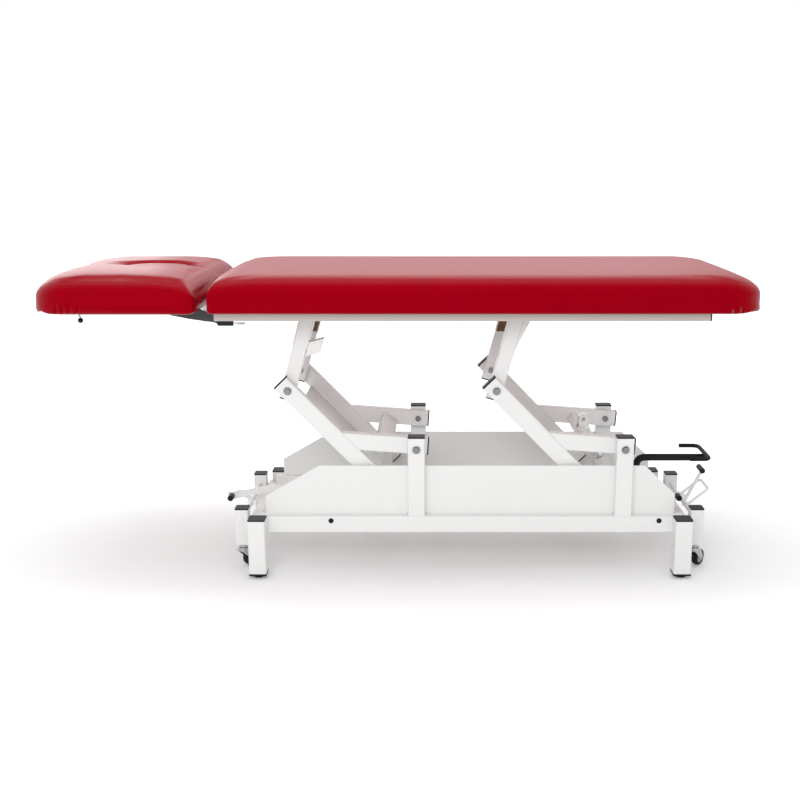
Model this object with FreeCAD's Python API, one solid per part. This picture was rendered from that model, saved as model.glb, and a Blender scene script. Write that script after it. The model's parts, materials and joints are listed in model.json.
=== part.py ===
import FreeCAD, Part
import math
import os

# Treatment couch: two upholstered sections on a lifting linkage and a wheeled base.
# Millimetres. X runs from the head end to the foot end, Y across, Z up.
# The origin is on the floor under the middle of the bed.

os.makedirs("parts", exist_ok=True)
Vector = FreeCAD.Vector

# Bed, seen from above
BED_LENGTH = 2028.0
BED_WIDTH = 700.0
HEAD_LENGTH = 460.0
SECTION_GAP = 22.0
OUTER_CORNER = 90.0
INNER_CORNER = 32.0

# Bed, seen from the side
FRAME_BOTTOM = 766.0
FRAME_DEPTH = 30.0
CUSHION_HEIGHT = 95.5
TOP_EDGE_ROUND = 30.0
BOTTOM_EDGE_ROUND = 12.0
BOARD_THICKNESS = 14.0
BOARD_INSET = 12.0

# Face hole and its plug
FACE_HOLE_FROM_OUTER_END = 282.0
FACE_HOLE_LENGTH = 206.0
FACE_HOLE_WIDTH = 116.0
PLUG_CLEARANCE = 2.0
PLUG_RECESS = 1.0
PLUG_EDGE_ROUND = 10.0
SOFT_GAP = 0.3
BOARD_HOLE_STEP = 14.0

# Tubes
TUBE_WALL = 2.5
TUBE_ROUND = 4.0
CAP_THICKNESS = 4.0

# Base
BASE_OFFSET = 204.0
RAIL_LENGTH = 1260.0
RAIL_DEPTH = 50.0
RAIL_WIDTH = 40.0
RAIL_BOTTOM = 126.0
BASE_HALF_WIDTH = 231.0
FOOT_POST_SIZE = 50.0
FOOT_POST_END = 648.0
FOOT_POST_BOTTOM = 15.0
GLIDE_PLATE = 6.0
GLIDE_RADIUS = 19.0
END_TUBE_WIDTH = 28.0
END_TUBE_DEPTH = 24.0
CROSS_TUBE_WIDTH = 40.0
CROSS_TUBE_DEPTH = 30.0
PUMP_TUBE_OFFSET = 535.0
PANEL_THICKNESS = 2.0
PANEL_FACE = 205.0
PANEL_TOP = 324.0
PANEL_CORNER = 8.0
HEAD_PANEL_INSET = 26.0
HEAD_PANEL_TOP_LENGTH = 261.0
HEAD_PANEL_END_HEIGHT = 55.0
FOOT_PANEL_INSET = 23.0
FOOT_PANEL_TOP_LENGTH = 39.0
FOOT_PANEL_END_HEIGHT = 61.0
PLUG_HEAD_RADIUS = 7.5
PLUG_STEM_RADIUS = 6.0
PLUG_HEAD_THICKNESS = 1.5
PLUG_HEIGHT = 163.0
PLUG_POSITIONS = (-409.0, 558.0)

# Lifting linkage: lower pivots, and the knee above each one
PIVOT_HEIGHT = 379.0
PIVOT_MID = 147.25
PIVOT_HALF_SPACING = 304.25
KNEE_BACK = 374.5
KNEE_RISE = 166.0
POST_WIDTH = 50.0
POST_DEPTH = 40.0
POST_TOP = 412.0
ARM_DEPTH = 50.0
ARM_WIDTH = 30.0
ARM_SIDE_GAP = 1.0
ARM_TAIL = 32.0
SHORT_ARM_SLOPE = 4.2
LONG_ARM_SLOPE = 45.9
LONG_ARM_TOP = 30.0
LONG_ARM_LENGTH = 425.0
LEG_DEPTH = 42.0
LEG_WIDTH = 30.0
LEG_LEAN = 15.6
LEG_TAIL = 31.0
SLEEVE_HEIGHT = 97.0
SLEEVE_WALL = 1.5
BOLT_RADIUS = 6.0
BOLT_HEAD_RADIUS = 9.5
BOLT_HEAD_HEIGHT = 7.0
NUT_HEIGHT = 7.0
PIVOT_CLEARANCE = 0.06
OPEN_PIVOT_CLEARANCE = 0.6

# Bed frame
BED_RAIL_WIDTH = 40.0
BED_RAIL_FACE = 300.0
BED_RAIL_START = -511.0
BED_RAIL_END = 864.0
BED_CROSS_WIDTH = 30.0

# Head hinge
HINGE_X = -535.0
HINGE_Z = 771.0
HINGE_PIN_RADIUS = 5.0
HEAD_ARM_FACE = 256.0
HEAD_ARM_THICKNESS = 8.0
HINGE_SIDE_GAP = 1.0
HEAD_TUBE_X = -600.0
HEAD_TUBE_SIZE = 25.0

# Gas spring of the head section
GAS_PIN_X = -555.0
GAS_PIN_Z = 730.0
GAS_ANCHOR_X = -290.0
GAS_ANCHOR_Z = 742.0
GAS_ROD_RADIUS = 4.0
GAS_BODY_RADIUS = 10.0
GAS_BODY_LENGTH = 150.0
GAS_NECK_LENGTH = 26.0
GAS_NECK_RADIUS = 4.5
GAS_BORE_DEPTH = 140.0
GAS_ROD_OVERLAP = 60.0
SMALL_PIN_RADIUS = 4.0
EYE_RADIUS = 9.0
EYE_WIDTH = 10.0
EAR_THICKNESS = 5.0
EAR_SIDE_GAP = 1.0
GAS_SLOT_UP = 6.5
GAS_SLOT_ALONG = 2.5

# Hydraulic ram
RAM_TOP_BACK = 95.0
RAM_TOP_RISE = 41.0
RAM_FOOT_X = 680.0
RAM_FOOT_Z = 150.0
RAM_BODY_RADIUS = 20.0
RAM_BODY_LENGTH = 125.0
RAM_NECK_LENGTH = 34.0
RAM_NECK_RADIUS = 9.0
RAM_BORE_DEPTH = 118.0
RAM_ROD_OVERLAP = 35.0
RAM_LUG_SETBACK = 50.0
RAM_ROD_RADIUS = 9.0
RAM_PIN_RADIUS = 6.0
RAM_EYE_RADIUS = 14.0
RAM_EYE_WIDTH = 24.0
RAM_SLOT_ALONG = 9.5
RAM_SLOT_UP = 5.0

# Pump lever
LEVER_PIVOT_X = 487.0
LEVER_PIVOT_Z = 297.0
LEVER_LENGTH = 250.0
LEVER_RISE = 4.0
LEVER_TUBE_RADIUS = 11.0
LEVER_HUB_RADIUS = 16.0
HANDLE_ROD_RADIUS = 6.5
HANDLE_WIDTH = 160.0
HANDLE_RETURN = 62.0
LEVER_BRACKET_WIDTH = 36.0
LEVER_BRACKET_BEND = 47.0

# Castor posts, sliders and castors
CASTOR_POST_SIZE = 40.0
CASTOR_POST_END = 698.0
CASTOR_POST_FACE = 203.0
CASTOR_POST_BOTTOM = 77.0
CASTOR_POST_TOP = 186.0
SLIDER_CLEARANCE = 0.5
SLIDER_HEIGHT = 44.0
WHEEL_RADIUS = 25.0
WHEEL_WIDTH = 20.0
WHEEL_FLOOR_GAP = 1.5
WHEEL_HUB_RADIUS = 17.0
CASTOR_TRAIL = 26.0
CASTOR_TURN = 50.0
FORK_PLATE = 2.5
FORK_SIDE_GAP = 1.0
FORK_CROWN_GAP = 3.0
AXLE_RADIUS = 4.0

# Castor shafts, pedal and tie bar
SHAFT_HEIGHT = 152.0
SHAFT_RADIUS = 6.0
CAM_REACH = 15.0
CRANK_RISE = 27.0
LEFT_CRANK_REACH = 57.0
RIGHT_CRANK_REACH = 25.0
CRANK_PIN_RADIUS = 4.0
KNOB_RADIUS = 9.0
KNOB_LENGTH = 27.5
KNOB_GRIP_DEPTH = 15.5
TIE_BAR_DEPTH = 20.0
TIE_BAR_THICKNESS = 6.0
TIE_BAR_Y = -34.0
TIE_BAR_BEND = 135.0
TIE_BAR_HUMP = 27.0
TIE_BAR_HUMP_END = 260.0
TIE_BAR_DROP = 7.0
TIE_BAR_END_SIZE = 11.0
TIE_BAR_SIDE_GAP = 1.0
CRANK_THICKNESS = 6.0
TIE_BAR_CLEARANCE = 3.4
LOOP_WIDTH = 105.0
LOOP_WIRE_RADIUS = 4.0
LOOP_REACH = 82.0
LOOP_TILT = 39.0
PEDAL_ROD_RADIUS = 5.0
GRIP_RADIUS = 8.5
GRIP_LENGTH = 50.0
GRIP_X = 730.0
GRIP_Z = 256.0
HAND_ROD_Y = -20.0
GRIP_START_Y = -28.0

# Release lever of the head section
RELEASE_X = -904.0
RELEASE_Y = -250.0
RELEASE_ROD_RADIUS = 3.0
RELEASE_KNOB_RADIUS = 7.5
RELEASE_DROP = 28.0
RELEASE_AXIS_DROP = 6.0
RELEASE_LEAN = 8.0
RELEASE_ROD_LENGTH = 60.0
SADDLE_WIDTH = 16.0
SADDLE_LENGTH = 20.0
SADDLE_DEPTH = 11.0

# Worked out from the sizes above
FRAME_TOP = FRAME_BOTTOM + FRAME_DEPTH
CUSHION_TOP = FRAME_TOP + CUSHION_HEIGHT
BED_START = -BED_LENGTH / 2
BED_END = BED_LENGTH / 2
HEAD_END = BED_START + HEAD_LENGTH
MAIN_START = HEAD_END + SECTION_GAP
FACE_HOLE_X = BED_START + FACE_HOLE_FROM_OUTER_END
RAIL_TOP = RAIL_BOTTOM + RAIL_DEPTH
RAIL_INNER = BASE_HALF_WIDTH - RAIL_WIDTH
POST_INNER = BASE_HALF_WIDTH - POST_DEPTH
ARM_OUTER = POST_INNER - ARM_SIDE_GAP
ARM_INNER = ARM_OUTER - ARM_WIDTH
LEG_OUTER = ARM_INNER - ARM_SIDE_GAP
LEG_INNER = LEG_OUTER - LEG_WIDTH
LOWER_PIVOTS = {
    "left": BASE_OFFSET + PIVOT_MID - PIVOT_HALF_SPACING,
    "right": BASE_OFFSET + PIVOT_MID + PIVOT_HALF_SPACING,
}
KNEE_HEIGHT = PIVOT_HEIGHT + KNEE_RISE


# Shared shapes

def box(x0, x1, y0, y1, z0, z1):
    return Part.makeBox(x1 - x0, y1 - y0, z1 - z0, Vector(x0, y0, z0))


def round_along(shape, axis, radius):
    """Rounds the straight edges that run along one axis."""
    edges = []
    for edge in shape.Edges:
        if len(edge.Vertexes) == 2:
            span = edge.Vertexes[1].Point - edge.Vertexes[0].Point
            if abs(abs(span.dot(axis)) - span.Length) < 1e-6:
                edges.append(edge)
    return shape.makeFillet(radius, edges)


def hollow_tube(length, width, depth):
    """A square tube along +X from the origin, width across Y, depth along Z."""
    outer = box(0, length, -width / 2, width / 2, -depth / 2, depth / 2)
    outer = round_along(outer, Vector(1, 0, 0), TUBE_ROUND)
    inner = box(0, length, -width / 2 + TUBE_WALL, width / 2 - TUBE_WALL,
                -depth / 2 + TUBE_WALL, depth / 2 - TUBE_WALL)
    return outer.cut(inner)


def tube_in_side_view(start, slope, length, y, width, depth):
    """A tube from start (x, z), rising towards +X at slope degrees."""
    tube = hollow_tube(length, width, depth)
    tube.rotate(Vector(0, 0, 0), Vector(0, 1, 0), -slope)
    tube.translate(Vector(start[0], y, start[1]))
    return tube


def tube_across(x, z, half_span, width, depth):
    tube = hollow_tube(2 * half_span, width, depth)
    tube.rotate(Vector(0, 0, 0), Vector(0, 0, 1), 90)
    tube.translate(Vector(x, -half_span, z))
    return tube


def tube_upright(x, y, z0, z1, size_x, size_y):
    tube = hollow_tube(z1 - z0, size_y, size_x)
    tube.rotate(Vector(0, 0, 0), Vector(0, 1, 0), -90)
    tube.translate(Vector(x, y, z0))
    return tube


def along(start, slope, distance):
    """The point (x, z) at a distance from start, up a slope in degrees."""
    angle = math.radians(slope)
    return (start[0] + distance * math.cos(angle), start[1] + distance * math.sin(angle))


def rod_y(x, z, radius, y0, y1):
    return Part.makeCylinder(radius, y1 - y0, Vector(x, y0, z), Vector(0, 1, 0))


def rod_between(start, end, radius):
    return Part.makeCylinder(radius, (end - start).Length, start, end - start)


def plate_side_view(points, y0, y1):
    """A flat plate whose outline is given in side view, from y0 to y1."""
    corners = [Vector(x, y0, z) for x, z in points]
    face = Part.Face(Part.makePolygon(corners + corners[:1]))
    return face.extrude(Vector(0, y1 - y0, 0))


def other_side(shape):
    return shape.mirror(Vector(0, 0, 0), Vector(0, 1, 0))


def both_sides(shape):
    return [shape, other_side(shape)]


def bent_rod(points, bend, radius):
    """A round rod through the points, with an arc of one radius at each bend."""
    edges = []
    start = points[0]
    for before, corner, after in zip(points, points[1:], points[2:]):
        incoming = (corner - before).normalize()
        outgoing = (after - corner).normalize()
        half_turn = incoming.getAngle(outgoing) / 2
        setback = bend * math.tan(half_turn)
        arc_start = corner - incoming * setback
        arc_end = corner + outgoing * setback
        to_centre = (outgoing - incoming).normalize()
        centre = corner + to_centre * (bend / math.cos(half_turn))
        middle = centre - to_centre * bend
        edges.append(Part.LineSegment(start, arc_start).toShape())
        edges.append(Part.Arc(arc_start, middle, arc_end).toShape())
        start = arc_end
    edges.append(Part.LineSegment(start, points[-1]).toShape())
    path = Part.Wire(edges)
    circle = Part.Circle(points[0], points[1] - points[0], radius)
    profile = Part.Wire([circle.toShape()])
    return path.makePipeShell([profile], True, True)


def bolt(x, z, head_face, tip, nut_face):
    """A hexagon bolt across Y on the near side, with its head outwards and its nut inwards."""
    head = hexagon(x, z, -head_face - BOLT_HEAD_HEIGHT, -head_face)
    shank = rod_y(x, z, BOLT_RADIUS, -head_face, -tip)
    nut = hexagon(x, z, -nut_face, -nut_face + NUT_HEIGHT)
    return head.fuse(shank).fuse(nut).removeSplitter()


def hexagon(x, z, y0, y1):
    corners = [(x + BOLT_HEAD_RADIUS * math.cos(math.radians(60 * i)),
                z + BOLT_HEAD_RADIUS * math.sin(math.radians(60 * i))) for i in range(6)]
    return plate_side_view(corners, y0, y1)


def save(name, solids):
    shape = solids[0] if len(solids) == 1 else Part.makeCompound(solids)
    shape.exportStep(f"parts/{name}.step")


# Base

def base_rails():
    centre_y = -(BASE_HALF_WIDTH - RAIL_WIDTH / 2)
    start = (BASE_OFFSET - RAIL_LENGTH / 2, RAIL_BOTTOM + RAIL_DEPTH / 2)
    rail = tube_in_side_view(start, 0, RAIL_LENGTH, centre_y, RAIL_WIDTH, RAIL_DEPTH)
    for x in PLUG_POSITIONS:
        hole = rod_y(BASE_OFFSET + x, PLUG_HEIGHT, PLUG_STEM_RADIUS,
                     -BASE_HALF_WIDTH, -BASE_HALF_WIDTH + TUBE_WALL)
        rail = rail.cut(hole)
    return both_sides(rail)


def rail_hole_plugs():
    plugs = []
    for x in PLUG_POSITIONS:
        head = rod_y(BASE_OFFSET + x, PLUG_HEIGHT, PLUG_HEAD_RADIUS,
                     -BASE_HALF_WIDTH - PLUG_HEAD_THICKNESS, -BASE_HALF_WIDTH)
        stem = rod_y(BASE_OFFSET + x, PLUG_HEIGHT, PLUG_STEM_RADIUS,
                     -BASE_HALF_WIDTH, -BASE_HALF_WIDTH + 3 * TUBE_WALL)
        plugs += both_sides(head.fuse(stem).removeSplitter())
    return plugs


PUMP_TUBE_X = BASE_OFFSET + PUMP_TUBE_OFFSET
FRONT_TUBE_X = LOWER_PIVOTS["left"]
CROSS_TUBE_TOP = RAIL_BOTTOM + CROSS_TUBE_DEPTH


def base_cross_tubes():
    tubes = []
    for end in (-1, 1):
        x = BASE_OFFSET + end * (RAIL_LENGTH + END_TUBE_WIDTH) / 2
        tubes.append(tube_across(x, RAIL_BOTTOM + END_TUBE_DEPTH / 2, BASE_HALF_WIDTH,
                                 END_TUBE_WIDTH, END_TUBE_DEPTH))
    for x in (PUMP_TUBE_X, FRONT_TUBE_X):
        tubes.append(tube_across(x, RAIL_BOTTOM + CROSS_TUBE_DEPTH / 2, RAIL_INNER,
                                 CROSS_TUBE_WIDTH, CROSS_TUBE_DEPTH))
    return tubes


def foot_post_places():
    x = FOOT_POST_END - FOOT_POST_SIZE / 2
    y = BASE_HALF_WIDTH + FOOT_POST_SIZE / 2
    return [(BASE_OFFSET + end * x, side * y) for end in (-1, 1) for side in (-1, 1)]


def castor_post_places():
    x = CASTOR_POST_END - CASTOR_POST_SIZE / 2
    y = CASTOR_POST_FACE - CASTOR_POST_SIZE / 2
    return {
        f"{side}_{end}": (BASE_OFFSET + x * (1 if end == "right" else -1), y * (1 if side == "far" else -1))
        for end in ("left", "right")
        for side in ("near", "far")
    }


def corner_posts():
    posts = []
    for x, y in foot_post_places():
        posts.append(tube_upright(x, y, FOOT_POST_BOTTOM, RAIL_TOP, FOOT_POST_SIZE, FOOT_POST_SIZE))
    for x, y in castor_post_places().values():
        post = tube_upright(x, y, CASTOR_POST_BOTTOM, CASTOR_POST_TOP, CASTOR_POST_SIZE, CASTOR_POST_SIZE)
        shaft_hole = rod_y(x, SHAFT_HEIGHT, SHAFT_RADIUS + PIVOT_CLEARANCE,
                           y - CASTOR_POST_SIZE, y + CASTOR_POST_SIZE)
        posts.append(post.cut(shaft_hole))
    return posts


def foot_glides():
    glides = []
    half = FOOT_POST_SIZE / 2
    for x, y in foot_post_places():
        plate = box(x - half, x + half, y - half, y + half, FOOT_POST_BOTTOM - GLIDE_PLATE, FOOT_POST_BOTTOM)
        pad_height = FOOT_POST_BOTTOM - GLIDE_PLATE
        pad = Part.makeCone(GLIDE_RADIUS - pad_height / 2, GLIDE_RADIUS, pad_height, Vector(x, y, 0))
        glides.append(plate.fuse(pad).removeSplitter())
    return glides


def flat_cap(x, y, z, size_x, size_y):
    cap = box(x - size_x / 2, x + size_x / 2, y - size_y / 2, y + size_y / 2, z, z + CAP_THICKNESS)
    return round_along(cap, Vector(0, 0, 1), TUBE_ROUND)


def base_tube_caps():
    caps = [flat_cap(x, y, RAIL_TOP, FOOT_POST_SIZE, FOOT_POST_SIZE) for x, y in foot_post_places()]
    for x, y in castor_post_places().values():
        caps.append(flat_cap(x, y, CASTOR_POST_TOP, CASTOR_POST_SIZE, CASTOR_POST_SIZE))
    for x in LOWER_PIVOTS.values():
        for side in (-1, 1):
            y = side * (BASE_HALF_WIDTH - POST_DEPTH / 2)
            caps.append(flat_cap(x, y, POST_TOP, POST_WIDTH, POST_DEPTH))
    return caps


def pivot_posts():
    posts = []
    for x in LOWER_PIVOTS.values():
        y = -(BASE_HALF_WIDTH - POST_DEPTH / 2)
        post = tube_upright(x, y, RAIL_TOP, POST_TOP, POST_WIDTH, POST_DEPTH)
        post = post.cut(rod_y(x, PIVOT_HEIGHT, BOLT_RADIUS, -BASE_HALF_WIDTH, -POST_INNER))
        posts += both_sides(post)
    return posts


def lift_pivot_bolts():
    bolts = []
    for x in LOWER_PIVOTS.values():
        nut_face = ARM_INNER - ARM_SIDE_GAP
        bolts += both_sides(bolt(x, PIVOT_HEIGHT, BASE_HALF_WIDTH, nut_face, nut_face))
    return bolts


def side_panels():
    head_end = BASE_OFFSET - RAIL_LENGTH / 2 + HEAD_PANEL_INSET
    foot_end = BASE_OFFSET + RAIL_LENGTH / 2 - FOOT_PANEL_INSET
    half = POST_WIDTH / 2
    left = LOWER_PIVOTS["left"]
    right = LOWER_PIVOTS["right"]
    outlines = [
        [(head_end, RAIL_TOP), (left - half, RAIL_TOP), (left - half, PANEL_TOP),
         (left - half - HEAD_PANEL_TOP_LENGTH, PANEL_TOP), (head_end, RAIL_TOP + HEAD_PANEL_END_HEIGHT)],
        [(left + half, RAIL_TOP), (right - half, RAIL_TOP), (right - half, PANEL_TOP),
         (left + half, PANEL_TOP)],
        [(right + half, RAIL_TOP), (foot_end, RAIL_TOP), (foot_end, RAIL_TOP + FOOT_PANEL_END_HEIGHT),
         (right + half + FOOT_PANEL_TOP_LENGTH, PANEL_TOP), (right + half, PANEL_TOP)],
    ]
    panels = []
    for outline in outlines:
        panel = plate_side_view(outline, -PANEL_FACE, -PANEL_FACE + PANEL_THICKNESS)
        low = [e for e in panel.Edges if e.BoundBox.ZMax < RAIL_TOP + 1e-6 and e.BoundBox.XLength < 1e-6]
        panels += both_sides(panel.makeFillet(PANEL_CORNER, low))
    return panels


def ram_foot_bracket():
    """Two ears on the pump tube, with slots for the ram's foot pin."""
    ears = []
    inner = RAM_EYE_WIDTH / 2 + EAR_SIDE_GAP
    height = RAM_SLOT_UP + RAM_PIN_RADIUS + 8.0
    tube_face = PUMP_TUBE_X - CROSS_TUBE_WIDTH / 2
    ear = box(RAM_FOOT_X - 24.0, tube_face, -inner - EAR_THICKNESS, -inner,
              RAM_FOOT_Z - height, RAM_FOOT_Z + height)
    half = RAM_PIN_RADIUS + RAM_SLOT_UP
    reach = RAM_PIN_RADIUS + RAM_SLOT_ALONG
    slot = box(RAM_FOOT_X - reach, RAM_FOOT_X + reach, -inner - EAR_THICKNESS, -inner,
               RAM_FOOT_Z - half, RAM_FOOT_Z + half)
    slot = round_along(slot, Vector(0, 1, 0), RAM_PIN_RADIUS)
    ears = both_sides(ear.cut(slot))
    return ears


def pump_lever_bracket():
    """Two upright plates on the pump tube that carry the pump lever's pivot."""
    inner = LEVER_HUB_RADIUS + EAR_SIDE_GAP
    pivot = BASE_OFFSET + LEVER_PIVOT_X
    half = LEVER_BRACKET_WIDTH / 2
    tube_half = CROSS_TUBE_WIDTH / 2
    bend_z = LEVER_PIVOT_Z - LEVER_BRACKET_BEND
    outline = [(PUMP_TUBE_X - tube_half, CROSS_TUBE_TOP), (PUMP_TUBE_X + tube_half, CROSS_TUBE_TOP),
               (PUMP_TUBE_X + tube_half, bend_z), (pivot + half, LEVER_PIVOT_Z),
               (pivot + half / 2, LEVER_PIVOT_Z + half), (pivot - half / 2, LEVER_PIVOT_Z + half),
               (pivot - half, LEVER_PIVOT_Z), (PUMP_TUBE_X - tube_half, bend_z)]
    plate = plate_side_view(outline, -inner - EAR_THICKNESS, -inner)
    plates = both_sides(plate)
    pin = rod_y(pivot, LEVER_PIVOT_Z, RAM_PIN_RADIUS, -inner - EAR_THICKNESS, inner + EAR_THICKNESS)
    return [plates[0].fuse(pin).fuse(plates[1]).removeSplitter()]


# Lift arms

def long_arm_axis(pivot_x):
    knee = (pivot_x - KNEE_BACK, KNEE_HEIGHT)
    top = along(knee, -LONG_ARM_SLOPE, -LONG_ARM_TOP)
    return knee, top


def lift_arms(pivot_x):
    y = -(ARM_OUTER - ARM_WIDTH / 2)
    knee, top = long_arm_axis(pivot_x)
    long_arm = tube_in_side_view(top, -LONG_ARM_SLOPE, LONG_ARM_LENGTH + LONG_ARM_TOP, y, ARM_WIDTH, ARM_DEPTH)
    filled = box(0, LONG_ARM_LENGTH + LONG_ARM_TOP, -ARM_WIDTH, ARM_WIDTH, -ARM_DEPTH / 2, ARM_DEPTH / 2)
    filled.rotate(Vector(0, 0, 0), Vector(0, 1, 0), LONG_ARM_SLOPE)
    filled.translate(Vector(top[0], y, top[1]))
    pivot = (pivot_x, PIVOT_HEIGHT)
    tail = along(pivot, -SHORT_ARM_SLOPE, ARM_TAIL)
    short_arm = tube_in_side_view(tail, 180 - SHORT_ARM_SLOPE, short_arm_reach() + ARM_TAIL, y, ARM_WIDTH, ARM_DEPTH)
    short_arm = short_arm.cut(filled)
    pivot_hole = rod_y(pivot_x, PIVOT_HEIGHT, BOLT_RADIUS + PIVOT_CLEARANCE, -ARM_OUTER, -ARM_INNER)
    knee_hole = rod_y(knee[0], knee[1], BOLT_RADIUS, -ARM_OUTER, -ARM_INNER)
    return both_sides(long_arm.cut(knee_hole)) + both_sides(short_arm.cut(pivot_hole))


def short_arm_reach():
    """From the lower pivot to the middle line of the long arm."""
    short = math.radians(SHORT_ARM_SLOPE)
    long = math.radians(LONG_ARM_SLOPE)
    drop = KNEE_RISE - KNEE_BACK * math.tan(short)
    down_long_arm = drop / (math.sin(long) - math.cos(long) * math.tan(short))
    return (KNEE_BACK - down_long_arm * math.cos(long)) / math.cos(short)


def tube_end_cap(end, slope, y, width, depth):
    """A flat cap on a tube's end, outwards along the slope."""
    cap = box(0, CAP_THICKNESS, -width / 2, width / 2, -depth / 2, depth / 2)
    cap = round_along(cap, Vector(1, 0, 0), TUBE_ROUND)
    cap.rotate(Vector(0, 0, 0), Vector(0, 1, 0), -slope)
    cap.translate(Vector(end[0], y, end[1]))
    return cap


def lift_arm_caps(pivot_x):
    y = -(ARM_OUTER - ARM_WIDTH / 2)
    knee, top = long_arm_axis(pivot_x)
    bottom = along(knee, -LONG_ARM_SLOPE, LONG_ARM_LENGTH)
    tail = along((pivot_x, PIVOT_HEIGHT), -SHORT_ARM_SLOPE, ARM_TAIL)
    caps = both_sides(tube_end_cap(top, 180 - LONG_ARM_SLOPE, y, ARM_WIDTH, ARM_DEPTH))
    caps += both_sides(tube_end_cap(bottom, -LONG_ARM_SLOPE, y, ARM_WIDTH, ARM_DEPTH))
    caps += both_sides(tube_end_cap(tail, -SHORT_ARM_SLOPE, y, ARM_WIDTH, ARM_DEPTH))
    return caps


def arm_cross_tube(pivot_x):
    """The tube that ties the near and far arms together."""
    x, z = upper_arm_tube(pivot_x)
    return [tube_across(x, z, ARM_INNER, ARM_WIDTH, ARM_WIDTH)]


def low_arm_tube(pivot_x):
    """A second tube at the foot of the long arms."""
    knee, top = long_arm_axis(pivot_x)
    x, z = along(knee, -LONG_ARM_SLOPE, LONG_ARM_LENGTH - ARM_DEPTH / 2)
    return [tube_across(x, z, ARM_INNER, ARM_WIDTH, ARM_WIDTH)]


def upper_arm_tube(pivot_x):
    return along((pivot_x, PIVOT_HEIGHT), 180 - SHORT_ARM_SLOPE, RAM_TOP_BACK + RAM_LUG_SETBACK)


def ram_lugs(pivot_x):
    """Two lug plates that reach forward from the upper tube to the ram's pin."""
    tube_x, tube_z = upper_arm_tube(pivot_x)
    half = ARM_WIDTH / 2
    pin_x = pivot_x - RAM_TOP_BACK
    pin_z = PIVOT_HEIGHT + RAM_TOP_RISE
    eye = RAM_EYE_RADIUS
    outline = [(tube_x - half, tube_z + half), (pin_x - eye / 2, pin_z + eye), (pin_x + eye / 2, pin_z + eye),
               (pin_x + eye, pin_z), (pin_x + eye / 2, pin_z - eye), (tube_x + half, tube_z - half),
               (tube_x + half, tube_z + half)]
    inner = RAM_EYE_WIDTH / 2 + EAR_SIDE_GAP
    lug = plate_side_view(outline, -inner - EAR_THICKNESS, -inner)
    pin_hole = rod_y(pin_x, pin_z, RAM_PIN_RADIUS + PIVOT_CLEARANCE, -inner - EAR_THICKNESS, -inner)
    return both_sides(lug.cut(pin_hole))


def knee_bolts(pivot_x):
    knee_x = pivot_x - KNEE_BACK
    nut_face = LEG_INNER - ARM_SIDE_GAP
    return both_sides(bolt(knee_x, KNEE_HEIGHT, ARM_OUTER, nut_face, nut_face))


# Bed frame

def bed_rails():
    y = -(BED_RAIL_FACE - BED_RAIL_WIDTH / 2)
    start = (BED_RAIL_START, FRAME_BOTTOM + FRAME_DEPTH / 2)
    return both_sides(tube_in_side_view(start, 0, BED_RAIL_END - BED_RAIL_START, y, BED_RAIL_WIDTH, FRAME_DEPTH))


def leg_top_x(pivot_x):
    return pivot_x - KNEE_BACK + (FRAME_BOTTOM - KNEE_HEIGHT) * math.tan(math.radians(LEG_LEAN))


def bed_cross_tubes():
    inner = BED_RAIL_FACE - BED_RAIL_WIDTH
    z = FRAME_BOTTOM + FRAME_DEPTH / 2
    places = [BED_RAIL_START + 46.0, BED_RAIL_END - 20.0]
    places += [leg_top_x(x) for x in LOWER_PIVOTS.values()]
    places.append((leg_top_x(LOWER_PIVOTS["right"]) + BED_RAIL_END) / 2)
    return [tube_across(x, z, inner, 2 * BED_CROSS_WIDTH if x in places[2:4] else BED_CROSS_WIDTH, FRAME_DEPTH)
            for x in places]


def gas_spring_bracket():
    """Two slotted ears under the bed frame for the gas spring's rear pin."""
    inner = EYE_WIDTH / 2 + EAR_SIDE_GAP
    outline = [(GAS_ANCHOR_X - 14.0, FRAME_BOTTOM), (GAS_ANCHOR_X + 40.0, FRAME_BOTTOM),
               (GAS_ANCHOR_X + 14.0, GAS_ANCHOR_Z - 18.0), (GAS_ANCHOR_X - 14.0, GAS_ANCHOR_Z - 18.0)]
    ear = plate_side_view(outline, -inner - EAR_THICKNESS, -inner)
    reach = SMALL_PIN_RADIUS + GAS_SLOT_ALONG
    half = SMALL_PIN_RADIUS + GAS_SLOT_UP
    slot = box(GAS_ANCHOR_X - reach, GAS_ANCHOR_X + reach, -inner - EAR_THICKNESS, -inner,
               GAS_ANCHOR_Z - half, GAS_ANCHOR_Z + half)
    slot = round_along(slot, Vector(0, 1, 0), SMALL_PIN_RADIUS)
    return both_sides(ear.cut(slot))


def bed_tube_caps():
    y = -(BED_RAIL_FACE - BED_RAIL_WIDTH / 2)
    z = FRAME_BOTTOM + FRAME_DEPTH / 2
    caps = both_sides(tube_end_cap((BED_RAIL_END, z), 0, y, BED_RAIL_WIDTH, FRAME_DEPTH))
    for pivot_x in LOWER_PIVOTS.values():
        end = along((pivot_x - KNEE_BACK, KNEE_HEIGHT), 90 - LEG_LEAN, -LEG_TAIL)
        leg_y = -(LEG_OUTER - LEG_WIDTH / 2)
        caps += both_sides(tube_end_cap(end, -90 - LEG_LEAN, leg_y, LEG_WIDTH, LEG_DEPTH))
    return caps


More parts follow.
